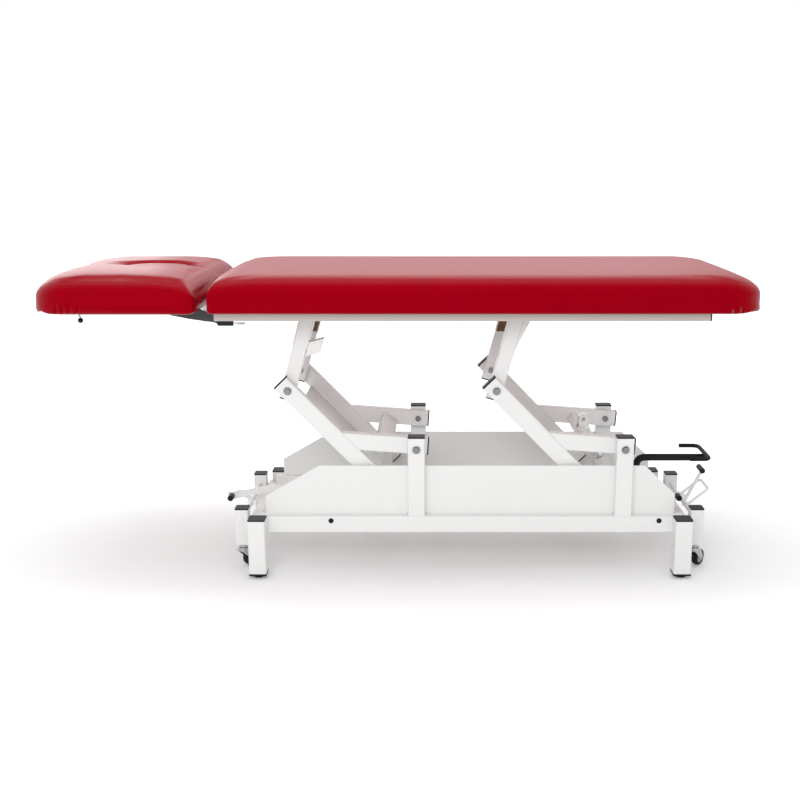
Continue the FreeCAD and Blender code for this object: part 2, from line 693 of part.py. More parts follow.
def bed_legs(pivot_x, clearance):
    """One pair of legs, from below the knee up to the bed frame, with a sleeve round the top."""
    y = -(LEG_OUTER - LEG_WIDTH / 2)
    knee = (pivot_x - KNEE_BACK, KNEE_HEIGHT)
    start = along(knee, 90 - LEG_LEAN, -LEG_TAIL)
    length = (FRAME_BOTTOM - start[1]) / math.cos(math.radians(LEG_LEAN)) + LEG_DEPTH
    leg = tube_in_side_view(start, 90 - LEG_LEAN, length, y, LEG_WIDTH, LEG_DEPTH)
    sleeve_start = along(knee, 90 - LEG_LEAN,
                         (FRAME_BOTTOM - SLEEVE_HEIGHT - KNEE_HEIGHT) / math.cos(math.radians(LEG_LEAN)))
    sleeve = box(0, SLEEVE_HEIGHT + LEG_DEPTH, -LEG_WIDTH / 2, LEG_WIDTH / 2 - 1.0,
                 -LEG_DEPTH / 2 - SLEEVE_WALL, LEG_DEPTH / 2 + SLEEVE_WALL)
    core = box(0, SLEEVE_HEIGHT + LEG_DEPTH, -LEG_WIDTH / 2, LEG_WIDTH / 2, -LEG_DEPTH / 2 + 0.5, LEG_DEPTH / 2 - 0.5)
    sleeve = sleeve.cut(core)
    sleeve.rotate(Vector(0, 0, 0), Vector(0, 1, 0), LEG_LEAN - 90)
    sleeve.translate(Vector(sleeve_start[0], y, sleeve_start[1]))
    leg = leg.fuse(sleeve)
    above = box(BED_START, BED_END, -BED_WIDTH, BED_WIDTH, FRAME_BOTTOM, CUSHION_TOP)
    hole = rod_y(knee[0], knee[1], BOLT_RADIUS + clearance, -LEG_OUTER, -LEG_INNER)
    return both_sides(leg.cut(above).cut(hole))


def leg_braces():
    """A box beam between the left legs, and gussets on the foot side of the right legs."""
    beam_depth = 46.0
    beam_height = 40.0
    half_leg = LEG_DEPTH / 2 + SLEEVE_WALL
    knee = (LOWER_PIVOTS["left"] - KNEE_BACK, KNEE_HEIGHT)
    face = along(knee, 90 - LEG_LEAN, (FRAME_BOTTOM - SLEEVE_HEIGHT - KNEE_HEIGHT) / math.cos(math.radians(LEG_LEAN)))
    beam = hollow_tube(2 * LEG_OUTER, beam_depth, beam_height)
    beam.rotate(Vector(0, 0, 0), Vector(0, 0, 1), 90)
    beam.translate(Vector(half_leg + beam_depth / 2, -LEG_OUTER, beam_height / 2 - 8.0))
    beam.rotate(Vector(0, 0, 0), Vector(0, 1, 0), LEG_LEAN)
    beam.translate(Vector(face[0], 0, face[1]))
    top_x = leg_top_x(LOWER_PIVOTS["right"])
    lean = math.tan(math.radians(LEG_LEAN))
    edge = half_leg / math.cos(math.radians(LEG_LEAN))
    low_z = FRAME_BOTTOM - SLEEVE_HEIGHT
    gusset = plate_side_view([(top_x + edge - SLEEVE_HEIGHT * lean, low_z), (top_x + edge + 22.0, FRAME_BOTTOM),
                              (top_x + edge, FRAME_BOTTOM)], -LEG_OUTER, -LEG_INNER)
    return [beam] + both_sides(gusset)


def section_outline(x0, x1, half_width, left_corner, right_corner, z):
    """A rounded outline in plan, with its own corner radius at each end."""
    def corner(cx, cy, radius, start):
        first = Vector(cx + radius * math.cos(math.radians(start)), cy + radius * math.sin(math.radians(start)), z)
        middle = Vector(cx + radius * math.cos(math.radians(start + 45)),
                        cy + radius * math.sin(math.radians(start + 45)), z)
        last = Vector(cx + radius * math.cos(math.radians(start + 90)),
                      cy + radius * math.sin(math.radians(start + 90)), z)
        return first, middle, last
    corners = [
        corner(x1 - right_corner, half_width - right_corner, right_corner, 0),
        corner(x0 + left_corner, half_width - left_corner, left_corner, 90),
        corner(x0 + left_corner, -half_width + left_corner, left_corner, 180),
        corner(x1 - right_corner, -half_width + right_corner, right_corner, 270),
    ]
    edges = []
    for index, (first, middle, last) in enumerate(corners):
        edges.append(Part.Arc(first, middle, last).toShape())
        edges.append(Part.LineSegment(last, corners[(index + 1) % 4][0]).toShape())
    return Part.Face(Part.Wire(edges))


def section_board(x0, x1, left_corner, right_corner):
    face = section_outline(x0 + BOARD_INSET, x1 - BOARD_INSET, BED_WIDTH / 2 - BOARD_INSET,
                           left_corner - BOARD_INSET, right_corner - BOARD_INSET, FRAME_TOP)
    return face.extrude(Vector(0, 0, BOARD_THICKNESS))


def section_cushion(x0, x1, left_corner, right_corner):
    face = section_outline(x0, x1, BED_WIDTH / 2, left_corner, right_corner, FRAME_TOP)
    block = face.extrude(Vector(0, 0, CUSHION_HEIGHT))
    top = [e for e in block.Edges if abs(e.BoundBox.ZMin - CUSHION_TOP) < 1e-6]
    block = block.makeFillet(TOP_EDGE_ROUND, top)
    bottom = [e for e in block.Edges if abs(e.BoundBox.ZMax - FRAME_TOP) < 1e-6]
    block = block.makeFillet(BOTTOM_EDGE_ROUND, bottom)
    return block.cut(section_board(x0, x1, left_corner, right_corner))


def face_hole(grow, z0, z1):
    """An oval prism round the face hole's middle line."""
    length = FACE_HOLE_LENGTH + 2 * grow
    width = FACE_HOLE_WIDTH + 2 * grow
    oval = Part.Ellipse(Vector(FACE_HOLE_X, 0, z0), length / 2, width / 2).toShape()
    return Part.Face(Part.Wire([oval])).extrude(Vector(0, 0, z1 - z0))


def main_board():
    return [section_board(MAIN_START, BED_END, INNER_CORNER, OUTER_CORNER)]


def main_cushion():
    return [section_cushion(MAIN_START, BED_END, INNER_CORNER, OUTER_CORNER)]


def head_hinge_brackets():
    """Black plates on the ends of the bed rails that reach out to the head hinge."""
    y0 = -HEAD_ARM_FACE - HINGE_SIDE_GAP - HEAD_ARM_THICKNESS
    y1 = -HEAD_ARM_FACE - HINGE_SIDE_GAP
    outline = [(BED_RAIL_START, FRAME_TOP), (BED_RAIL_START, FRAME_BOTTOM - 6.0),
               (HINGE_X - 12.0, HINGE_Z - 10.0), (HINGE_X - 14.0, HINGE_Z + 6.0), (HINGE_X - 6.0, HINGE_Z + 13.0)]
    plate = plate_side_view(outline, y0, y1)
    return both_sides(plate.cut(rod_y(HINGE_X, HINGE_Z, HINGE_PIN_RADIUS, y0, y1)))


def head_hinge_pins():
    outer = HEAD_ARM_FACE + HINGE_SIDE_GAP + HEAD_ARM_THICKNESS
    inner = HEAD_ARM_FACE - HEAD_ARM_THICKNESS - 3.0
    return both_sides(rod_y(HINGE_X, HINGE_Z, HINGE_PIN_RADIUS, -outer - 4.0, -inner))


# Head section

def head_arms():
    top = FRAME_TOP
    outline = [(HINGE_X - 107.0, top), (HINGE_X - 31.0, top), (HINGE_X - 10.0, top - 7.0),
               (HINGE_X + 14.0, HINGE_Z + 5.0), (HINGE_X + 35.0, HINGE_Z - 11.0),
               (HINGE_X + 35.0, HINGE_Z - 20.0), (HINGE_X + 13.0, HINGE_Z - 14.0),
               (HINGE_X - 52.0, HINGE_Z - 5.0), (HINGE_X - 107.0, HINGE_Z + 6.0)]
    arm = plate_side_view(outline, -HEAD_ARM_FACE, -HEAD_ARM_FACE + HEAD_ARM_THICKNESS)
    hole = rod_y(HINGE_X, HINGE_Z, HINGE_PIN_RADIUS + PIVOT_CLEARANCE, -HEAD_ARM_FACE,
                 -HEAD_ARM_FACE + HEAD_ARM_THICKNESS)
    return both_sides(arm.cut(hole))


def head_cross_tube():
    """The tube between the head arms, with the two crank plates of the gas spring."""
    z = FRAME_TOP - HEAD_TUBE_SIZE / 2
    tube = tube_across(HEAD_TUBE_X, z, HEAD_ARM_FACE - HEAD_ARM_THICKNESS, HEAD_TUBE_SIZE, HEAD_TUBE_SIZE)
    inner = EYE_WIDTH / 2 + EAR_SIDE_GAP
    low = FRAME_TOP - HEAD_TUBE_SIZE
    outline = [(HEAD_TUBE_X - 12.0, low), (HEAD_TUBE_X + 12.0, low), (GAS_PIN_X + 9.0, GAS_PIN_Z + 9.0),
               (GAS_PIN_X + 9.0, GAS_PIN_Z - 9.0), (GAS_PIN_X - 9.0, GAS_PIN_Z - 9.0)]
    crank = plate_side_view(outline, -inner - EAR_THICKNESS, -inner)
    hole = rod_y(GAS_PIN_X, GAS_PIN_Z, SMALL_PIN_RADIUS + PIVOT_CLEARANCE, -inner - EAR_THICKNESS, -inner)
    return [tube] + both_sides(crank.cut(hole))


def head_board():
    board = section_board(BED_START, HEAD_END, OUTER_CORNER, INNER_CORNER)
    return [board.cut(face_hole(-BOARD_HOLE_STEP / 2, FRAME_TOP, CUSHION_TOP))]


def head_cushion():
    cushion = section_cushion(BED_START, HEAD_END, OUTER_CORNER, INNER_CORNER)
    return [cushion.cut(face_hole(0, FRAME_TOP, CUSHION_TOP))]


def face_plug():
    """The oval pad that fills the face hole and rests on the board's rim."""
    plug_top = CUSHION_TOP - PLUG_RECESS
    plug = face_hole(-PLUG_CLEARANCE, FRAME_TOP + BOARD_THICKNESS + SOFT_GAP, plug_top)
    top = [e for e in plug.Edges if abs(e.BoundBox.ZMin - plug_top) < 1e-6]
    return [plug.makeFillet(PLUG_EDGE_ROUND, top)]


def release_lever():
    """A bent rod under the head section, with its knob end hanging down at the near edge."""
    axis_z = FRAME_TOP - RELEASE_AXIS_DROP
    top = Vector(RELEASE_X, RELEASE_Y, axis_z)
    side = Vector(RELEASE_X, RELEASE_Y + RELEASE_ROD_LENGTH, axis_z)
    low = Vector(RELEASE_X + RELEASE_LEAN, RELEASE_Y, FRAME_TOP - RELEASE_DROP)
    return [bent_rod([side, top, low], 2 * RELEASE_ROD_RADIUS, RELEASE_ROD_RADIUS)]


def release_lever_saddle():
    """The bored block under the head board that the release lever turns in."""
    middle = RELEASE_Y + RELEASE_ROD_LENGTH / 2
    y0 = middle - SADDLE_LENGTH / 2
    y1 = middle + SADDLE_LENGTH / 2
    block = box(RELEASE_X - SADDLE_WIDTH / 2, RELEASE_X + SADDLE_WIDTH / 2, y0, y1,
                FRAME_TOP - SADDLE_DEPTH, FRAME_TOP)
    bore = rod_y(RELEASE_X, FRAME_TOP - RELEASE_AXIS_DROP, RELEASE_ROD_RADIUS + PIVOT_CLEARANCE, y0, y1)
    return [block.cut(bore)]


def release_knob():
    centre = Vector(RELEASE_X + RELEASE_LEAN, RELEASE_Y, FRAME_TOP - RELEASE_DROP - RELEASE_KNOB_RADIUS + 1.0)
    ball = Part.makeSphere(RELEASE_KNOB_RADIUS, centre)
    return [ball.cut(release_lever()[0])]


# Gas spring and ram: the rod hangs on its upper pin, the body runs to a slotted foot

def strut_rod(pin, foot, eye_radius, eye_width, pin_radius, rod_radius, rod_end, ear_gap):
    """An eye round its own cross pin, and the rod towards the foot."""
    direction = Vector(foot[0] - pin[0], 0, foot[1] - pin[1]).normalize()
    start = Vector(pin[0], 0, pin[1])
    eye = rod_y(pin[0], pin[1], eye_radius, -eye_width / 2, eye_width / 2)
    reach = eye_width / 2 + ear_gap + EAR_THICKNESS + 2.0
    cross_pin = rod_y(pin[0], pin[1], pin_radius, -reach, reach)
    rod = rod_between(start, start + direction * rod_end, rod_radius)
    return eye.fuse(cross_pin).fuse(rod).removeSplitter()


def strut_body(pin, foot, body_radius, body_length, neck_length, neck_radius, bore_radius, bore_depth,
               eye_radius, eye_width, pin_radius):
    """The cylinder with its bore open towards the rod, a neck, and its foot eye with the cross pin."""
    direction = Vector(foot[0] - pin[0], 0, foot[1] - pin[1]).normalize()
    end = Vector(foot[0], 0, foot[1])
    body_end = end - direction * neck_length
    body_start = body_end - direction * body_length
    body = rod_between(body_start, body_end, body_radius).fuse(rod_between(body_end, end, neck_radius))
    body = body.cut(rod_between(body_start, body_start + direction * bore_depth, bore_radius))
    eye = rod_y(foot[0], foot[1], eye_radius, -eye_width / 2, eye_width / 2)
    reach = eye_width / 2 + EAR_SIDE_GAP + EAR_THICKNESS + 2.0
    cross_pin = rod_y(foot[0], foot[1], pin_radius, -reach, reach)
    return body.fuse(eye).fuse(cross_pin).removeSplitter()


GAS_PIN = (GAS_PIN_X, GAS_PIN_Z)
GAS_FOOT = (GAS_ANCHOR_X, GAS_ANCHOR_Z)
RAM_PIN = (LOWER_PIVOTS["right"] - RAM_TOP_BACK, PIVOT_HEIGHT + RAM_TOP_RISE)
RAM_FOOT = (RAM_FOOT_X, RAM_FOOT_Z)


def length_between(a, b):
    return math.hypot(b[0] - a[0], b[1] - a[1])


def gas_spring_rod():
    rod_end = length_between(GAS_PIN, GAS_FOOT) - GAS_NECK_LENGTH - GAS_BODY_LENGTH + GAS_ROD_OVERLAP
    return [strut_rod(GAS_PIN, GAS_FOOT, EYE_RADIUS, EYE_WIDTH, SMALL_PIN_RADIUS, GAS_ROD_RADIUS,
                      rod_end, EAR_SIDE_GAP)]


def gas_spring_cylinder():
    return [strut_body(GAS_PIN, GAS_FOOT, GAS_BODY_RADIUS, GAS_BODY_LENGTH, GAS_NECK_LENGTH, GAS_NECK_RADIUS,
                       GAS_ROD_RADIUS + PIVOT_CLEARANCE, GAS_BORE_DEPTH, EYE_RADIUS, EYE_WIDTH, SMALL_PIN_RADIUS)]


def ram_rod():
    rod_end = length_between(RAM_PIN, RAM_FOOT) - RAM_NECK_LENGTH - RAM_BODY_LENGTH + RAM_ROD_OVERLAP
    return [strut_rod(RAM_PIN, RAM_FOOT, RAM_EYE_RADIUS, RAM_EYE_WIDTH, RAM_PIN_RADIUS, RAM_ROD_RADIUS,
                      rod_end, EAR_SIDE_GAP)]


def ram_cylinder():
    return [strut_body(RAM_PIN, RAM_FOOT, RAM_BODY_RADIUS, RAM_BODY_LENGTH, RAM_NECK_LENGTH, RAM_NECK_RADIUS,
                       RAM_ROD_RADIUS + PIVOT_CLEARANCE, RAM_BORE_DEPTH, RAM_EYE_RADIUS, RAM_EYE_WIDTH, RAM_PIN_RADIUS)]


# Pump lever

def pump_lever():
    """A tube from its hub out past the foot end, with a bent rod handle across its end."""
    pivot = Vector(BASE_OFFSET + LEVER_PIVOT_X, 0, LEVER_PIVOT_Z)
    slope = math.radians(LEVER_RISE)
    direction = Vector(math.cos(slope), 0, math.sin(slope))
    tip = pivot + direction * LEVER_LENGTH
    hub = rod_y(pivot.x, pivot.z, LEVER_HUB_RADIUS, -LEVER_HUB_RADIUS, LEVER_HUB_RADIUS)
    tube = rod_between(pivot, tip, LEVER_TUBE_RADIUS)
    half = HANDLE_WIDTH / 2
    back = direction * (-HANDLE_RETURN)
    side = Vector(0, half, 0)
    handle = bent_rod([tip + side + back, tip + side, tip - side, tip - side + back], 22.0, HANDLE_ROD_RADIUS)
    lever = hub.fuse(tube).fuse(handle).removeSplitter()
    bore = rod_y(pivot.x, pivot.z, RAM_PIN_RADIUS + PIVOT_CLEARANCE, -LEVER_HUB_RADIUS, LEVER_HUB_RADIUS)
    return [lever.cut(bore)]


# Castor shafts and pedal

SHAFT_X = CASTOR_POST_END - CASTOR_POST_SIZE / 2
SHAFTS = {"left": BASE_OFFSET - SHAFT_X, "right": BASE_OFFSET + SHAFT_X}


def castor_shaft(x):
    """A shaft through both castor posts, with a cam finger inside each post."""
    half = CASTOR_POST_FACE + 2.0
    shaft = rod_y(x, SHAFT_HEIGHT, SHAFT_RADIUS, -half, half)
    for side in (-1, 1):
        y = side * (CASTOR_POST_FACE - CASTOR_POST_SIZE / 2)
        finger = box(x, x + CAM_REACH - 1.0, y - 8.0, y + 8.0, SHAFT_HEIGHT - SHAFT_RADIUS, SHAFT_HEIGHT + SHAFT_RADIUS)
        shaft = shaft.fuse(finger)
    return shaft


def curved_arm(x, reach):
    """A flat curved plate from the shaft round to the crank pin."""
    pin = Vector(x - reach, 0, SHAFT_HEIGHT + CRANK_RISE)
    hub = Vector(x, 0, SHAFT_HEIGHT)
    middle = (pin + hub) * 0.5
    half = (pin - hub).Length / 2
    across = (pin - hub).normalize()
    bow = Vector(-across.z, 0, across.x) * (-half * 0.62)
    outer = 9.0
    y0 = TIE_BAR_Y + TIE_BAR_THICKNESS / 2 + TIE_BAR_SIDE_GAP
    normal_start = Vector(-across.z, 0, across.x)
    edges = [
        Part.Arc(hub - normal_start * outer, middle + bow * 1.0 - normal_start * outer * 0.9,
                 pin - normal_start * outer).toShape(),
        Part.Arc(pin - normal_start * outer, pin + across * outer, pin + normal_start * outer).toShape(),
        Part.Arc(pin + normal_start * outer, middle + bow + normal_start * outer * 0.9,
                 hub + normal_start * outer).toShape(),
        Part.Arc(hub + normal_start * outer, hub - across * outer, hub - normal_start * outer).toShape(),
    ]
    face = Part.Face(Part.Wire(edges))
    face.translate(Vector(0, y0, 0))
    plate = face.extrude(Vector(0, CRANK_THICKNESS, 0))
    return plate.fuse(crank_pin(x, reach))


def knob_face_y():
    """Where the knob starts, just outside the tie bar."""
    return TIE_BAR_Y - TIE_BAR_THICKNESS / 2 - TIE_BAR_SIDE_GAP


def crank_pin(x, reach):
    inner_end = TIE_BAR_Y + TIE_BAR_THICKNESS / 2 + TIE_BAR_SIDE_GAP + CRANK_THICKNESS
    return rod_y(x - reach, SHAFT_HEIGHT + CRANK_RISE, CRANK_PIN_RADIUS, knob_face_y() - KNOB_GRIP_DEPTH, inner_end)


def left_castor_shaft():
    x = SHAFTS["left"]
    return [castor_shaft(x).fuse(curved_arm(x, LEFT_CRANK_REACH)).removeSplitter()]


def loop_points(x):
    tilt = math.radians(LOOP_TILT)
    direction = Vector(math.cos(tilt), 0, math.sin(tilt))
    root = Vector(x, 0, SHAFT_HEIGHT)
    half = Vector(0, LOOP_WIDTH / 2, 0)
    near = root + direction * 4.0 - half
    far = root + direction * 4.0 + half
    return [near, near + direction * LOOP_REACH, far + direction * LOOP_REACH, far]


def right_castor_shaft():
    """The driven shaft: curved arm, wire stirrup and hand rod."""
    x = SHAFTS["right"]
    shape = castor_shaft(x).fuse(curved_arm(x, RIGHT_CRANK_REACH))
    shape = shape.fuse(bent_rod(loop_points(x), 12.0, LOOP_WIRE_RADIUS))
    return [shape.fuse(hand_rod(x)).removeSplitter()]


def hand_rod(x):
    foot = Vector(x, HAND_ROD_Y, SHAFT_HEIGHT)
    return rod_between(foot, Vector(BASE_OFFSET + GRIP_X, HAND_ROD_Y, GRIP_Z), PEDAL_ROD_RADIUS)


def right_pedal_grips():
    x = SHAFTS["right"]
    grip = rod_y(BASE_OFFSET + GRIP_X, GRIP_Z, GRIP_RADIUS, GRIP_START_Y, GRIP_START_Y + GRIP_LENGTH)
    return [grip.cut(hand_rod(x)), crank_knob(x, RIGHT_CRANK_REACH)]


def crank_knob(x, reach):
    """A black sleeve on the near end of the crank pin."""
    knob = rod_y(x - reach, SHAFT_HEIGHT + CRANK_RISE, KNOB_RADIUS, knob_face_y() - KNOB_LENGTH, knob_face_y())
    return knob.cut(crank_pin(x, reach))


def left_pedal_knob():
    return [crank_knob(SHAFTS["left"], LEFT_CRANK_REACH)]


def castor_tie_bar():
    """The flat bar that makes both shafts turn together."""
    y0 = TIE_BAR_Y - TIE_BAR_THICKNESS / 2
    y1 = TIE_BAR_Y + TIE_BAR_THICKNESS / 2
    z = SHAFT_HEIGHT + CRANK_RISE
    left = SHAFTS["left"] - LEFT_CRANK_REACH
    right = SHAFTS["right"] - RIGHT_CRANK_REACH
    half = TIE_BAR_DEPTH / 2
    end = TIE_BAR_END_SIZE
    line = [(left + end, z), (left + TIE_BAR_BEND, z + TIE_BAR_HUMP), (left + TIE_BAR_HUMP_END, z - TIE_BAR_DROP),
            (right - TIE_BAR_BEND, z - TIE_BAR_DROP), (right - end, z)]
    under = [(x, middle - half) for x, middle in line]
    over = [(x, middle + half) for x, middle in reversed(line)]
    outline = [(left - end, z - end), *under, (right + end, z - end), (right + end, z + end), *over, (left - end, z + end)]
    bar = plate_side_view(outline, y0, y1)
    bar = bar.cut(rod_y(left, z, CRANK_PIN_RADIUS + TIE_BAR_CLEARANCE, y0, y1))
    return [bar.cut(rod_y(right, z, CRANK_PIN_RADIUS + PIVOT_CLEARANCE, y0, y1))]


# Castors

WHEEL_CENTRE = WHEEL_RADIUS + WHEEL_FLOOR_GAP
CROWN_BOTTOM = WHEEL_CENTRE + WHEEL_RADIUS + FORK_CROWN_GAP


def castor_slider(x, y):
    """A square slider inside the post, with the castor's stem socket below it."""
    size = CASTOR_POST_SIZE - 2 * TUBE_WALL - SLIDER_CLEARANCE
    top = SHAFT_HEIGHT - SHAFT_RADIUS - 1.0
    block = box(x - size / 2, x + size / 2, y - size / 2, y + size / 2, top - SLIDER_HEIGHT, top)
    stem = Part.makeCylinder(8.0, top - SLIDER_HEIGHT - CROWN_BOTTOM - 2.0, Vector(x, y, CROWN_BOTTOM + 2.0))
    collar = Part.makeCylinder(13.0, 5.0, Vector(x, y, CASTOR_POST_BOTTOM - 9.0))
    return [block.fuse(stem).fuse(collar).removeSplitter()]


def castor_fork(x, y):
    """The swivel cup and the two fork plates, trailing behind the stem, with the axle."""
    half = WHEEL_WIDTH / 2 + FORK_SIDE_GAP
    crown_top = CROWN_BOTTOM + FORK_PLATE
    cup = Part.makeCylinder(16.0, 8.0, Vector(0, 0, crown_top))
    cup = cup.cut(Part.makeCylinder(8.0 + PIVOT_CLEARANCE, 8.0, Vector(0, 0, crown_top)))
    crown = box(-17.0, 20.0, -half - FORK_PLATE, half + FORK_PLATE, CROWN_BOTTOM, crown_top)
    crown = crown.cut(Part.makeCylinder(8.0 + PIVOT_CLEARANCE, 8.0, Vector(0, 0, CROWN_BOTTOM)))
    outline = [(-17.0, crown_top), (20.0, crown_top), (CASTOR_TRAIL + 7.0, WHEEL_CENTRE + 2.0),
               (CASTOR_TRAIL + 4.0, WHEEL_CENTRE - 7.0), (CASTOR_TRAIL - 5.0, WHEEL_CENTRE - 6.0)]
    plate = plate_side_view(outline, -half - FORK_PLATE, -half)
    plates = both_sides(plate)
    axle = rod_y(CASTOR_TRAIL, WHEEL_CENTRE, AXLE_RADIUS, -half - FORK_PLATE - 2.0, half + FORK_PLATE + 2.0)
    fork = crown.fuse(cup).fuse(plates[0]).fuse(plates[1]).fuse(axle).removeSplitter()
    return [turned_castor(fork, x, y)]


def turned_castor(shape, x, y):
    shape.rotate(Vector(0, 0, 0), Vector(0, 0, 1), CASTOR_TURN)
    shape.translate(Vector(x, y, 0))
    return shape


def castor_wheel(x, y):
    """A rubber tyre on a plastic hub."""
    half = WHEEL_WIDTH / 2
    tyre = rod_y(0, 0, WHEEL_RADIUS, -half, half).cut(rod_y(0, 0, WHEEL_HUB_RADIUS, -half, half))
    rims = [e for e in tyre.Edges if abs(e.Length - 2 * math.pi * WHEEL_RADIUS) < 1e-3]
    tyre = tyre.makeFillet(5.0, rims)
    hub = rod_y(0, 0, WHEEL_HUB_RADIUS, -half + 3.0, half - 3.0)
    boss = rod_y(0, 0, 8.0, -half, half)
    hub = hub.fuse(boss).cut(rod_y(0, 0, AXLE_RADIUS + PIVOT_CLEARANCE, -half, half)).removeSplitter()
    solids = []
    for solid in (tyre, hub):
        solid.translate(Vector(CASTOR_TRAIL, 0, WHEEL_CENTRE))
        solids.append(turned_castor(solid, x, y))
    return solids


PIECES = {
    "base_rails": base_rails,
    "base_cross_tubes": base_cross_tubes,
    "corner_posts": corner_posts,
    "base_tube_caps": base_tube_caps,
    "foot_glides": foot_glides,
    "pivot_posts": pivot_posts,
    "lift_pivot_bolts": lift_pivot_bolts,
    "side_panels": side_panels,
    "rail_hole_plugs": rail_hole_plugs,
    "ram_foot_bracket": ram_foot_bracket,
    "pump_lever_bracket": pump_lever_bracket,
    "bed_rails": bed_rails,
    "bed_cross_tubes": bed_cross_tubes,
    "gas_spring_bracket": gas_spring_bracket,
    "bed_tube_caps": bed_tube_caps,
    "leg_braces": leg_braces,
    "main_board": main_board,
    "main_cushion": main_cushion,
    "head_hinge_brackets": head_hinge_brackets,
    "head_hinge_pins": head_hinge_pins,
    "head_arms": head_arms,
    "head_cross_tube": head_cross_tube,
    "head_board": head_board,
    "head_cushion": head_cushion,
    "face_plug": face_plug,
    "release_lever": release_lever,
    "release_lever_saddle": release_lever_saddle,
    "release_knob": release_knob,
    "gas_spring_rod": gas_spring_rod,
    "gas_spring_cylinder": gas_spring_cylinder,
    "ram_rod": ram_rod,
    "ram_cylinder": ram_cylinder,
    "pump_lever": pump_lever,
    "left_castor_shaft": left_castor_shaft,
    "right_castor_shaft": right_castor_shaft,
    "right_pedal_grips": right_pedal_grips,
    "left_pedal_knob": left_pedal_knob,
    "castor_tie_bar": castor_tie_bar,
}

for piece_name, make in PIECES.items():
    save(piece_name, make())

for end_name, lower_pivot in LOWER_PIVOTS.items():
    knee_clearance = PIVOT_CLEARANCE if end_name == "left" else OPEN_PIVOT_CLEARANCE
    save(f"{end_name}_lift_arms", lift_arms(lower_pivot))
    second = ram_lugs(lower_pivot) if end_name == "right" else low_arm_tube(lower_pivot)
    save(f"{end_name}_arm_cross_tubes", arm_cross_tube(lower_pivot) + second)
    save(f"{end_name}_arm_caps", lift_arm_caps(lower_pivot))
    save(f"{end_name}_knee_bolts", knee_bolts(lower_pivot))
    save(f"{end_name}_bed_legs", bed_legs(lower_pivot, knee_clearance))

for corner_name, (post_x, post_y) in castor_post_places().items():
    save(f"{corner_name}_slider", castor_slider(post_x, post_y))
    save(f"{corner_name}_fork", castor_fork(post_x, post_y))
    save(f"{corner_name}_wheel", castor_wheel(post_x, post_y))
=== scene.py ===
import json
import math

import bmesh
import bpy
from mathutils import Matrix, Vector


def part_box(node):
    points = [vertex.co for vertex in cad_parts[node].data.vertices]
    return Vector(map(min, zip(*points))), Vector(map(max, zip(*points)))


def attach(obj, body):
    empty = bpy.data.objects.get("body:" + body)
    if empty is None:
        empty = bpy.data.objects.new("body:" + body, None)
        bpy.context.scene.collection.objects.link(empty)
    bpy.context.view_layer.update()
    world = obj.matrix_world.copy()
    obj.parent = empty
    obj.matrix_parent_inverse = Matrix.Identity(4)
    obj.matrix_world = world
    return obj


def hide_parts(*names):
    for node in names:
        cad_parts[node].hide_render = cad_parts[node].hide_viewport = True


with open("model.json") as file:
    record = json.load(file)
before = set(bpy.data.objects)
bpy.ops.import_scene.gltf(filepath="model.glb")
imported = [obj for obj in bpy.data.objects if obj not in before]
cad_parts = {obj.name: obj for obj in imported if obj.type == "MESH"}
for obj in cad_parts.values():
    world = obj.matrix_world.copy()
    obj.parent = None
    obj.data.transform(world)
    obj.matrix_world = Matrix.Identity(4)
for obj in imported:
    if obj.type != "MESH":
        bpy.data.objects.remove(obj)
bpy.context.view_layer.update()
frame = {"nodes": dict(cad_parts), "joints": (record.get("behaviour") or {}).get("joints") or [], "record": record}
MM = 0.001

# Camera, from a perspective fit to the photograph
CAMERA_PLACE = Vector((0.095, -3.319, 1.218))
CAMERA_PITCH_DOWN = 12.6
FOCAL_PIXELS = 1100.0
PRINCIPAL_PIXEL_X = 432.8
FRAME_PIXELS = 800.0
SENSOR_WIDTH = 36.0


def srgb(code):
    """The linear colour of an sRGB hex code."""
    channels = [int(code[i:i + 2], 16) / 255 for i in (1, 3, 5)]
    return [c / 12.92 if c <= 0.04045 else ((c + 0.055) / 1.055) ** 2.4 for c in channels] + [1.0]


def per_metre(millimetres):
    """The texture scale that repeats once in a real length."""
    return 1000.0 / millimetres


def add_node(tree, kind, inputs, **settings):
    """Adds one shader node, with its settings, its constant inputs and its links."""
    node = tree.nodes.new(kind)
    for name, value in settings.items():
        setattr(node, name, value)
    for name, value in inputs.items():
        if isinstance(value, bpy.types.NodeSocket):
            tree.links.new(value, node.inputs[name])
        else:
            node.inputs[name].default_value = value
    return node


def start_material(name, roughness, **constants):
    """A Principled material with its constants set on the shader itself."""
    material = bpy.data.materials.new(name)
    material.use_nodes = True
    shader = material.node_tree.nodes["Principled BSDF"]
    shader.inputs["Roughness"].default_value = roughness
    for key, value in constants.items():
        shader.inputs[key.replace("_", " ")].default_value = value
    place = add_node(material.node_tree, "ShaderNodeTexCoord", {}).outputs["Object"]
    return material, material.node_tree, shader, place


def powder_coat(name, colour, thin_colour, roughness):
    """Polyester powder coat on steel tube: an even satin skin with a faint orange-peel ripple."""
    material, tree, shader, place = start_material(name, roughness, IOR=1.5, Coat_Weight=0.15, Coat_Roughness=0.2)
    cloud = add_node(tree, "ShaderNodeTexNoise", {"Vector": place, "Scale": per_metre(160), "Detail": 3.0})
    tint = add_node(tree, "ShaderNodeMix", {0: cloud.outputs["Fac"], 6: srgb(colour), 7: srgb(thin_colour)},
                    data_type="RGBA")
    tree.links.new(tint.outputs[2], shader.inputs["Base Color"])
    # The real ripple is about 1 mm across; it is drawn at 4 mm so that it shows
    peel = add_node(tree, "ShaderNodeTexNoise", {"Vector": place, "Scale": per_metre(4), "Detail": 2.0})
    bump = add_node(tree, "ShaderNodeBump", {"Strength": 0.12, "Distance": 0.3 * MM, "Height": peel.outputs["Fac"]})
    tree.links.new(bump.outputs["Normal"], shader.inputs["Normal"])
    return material


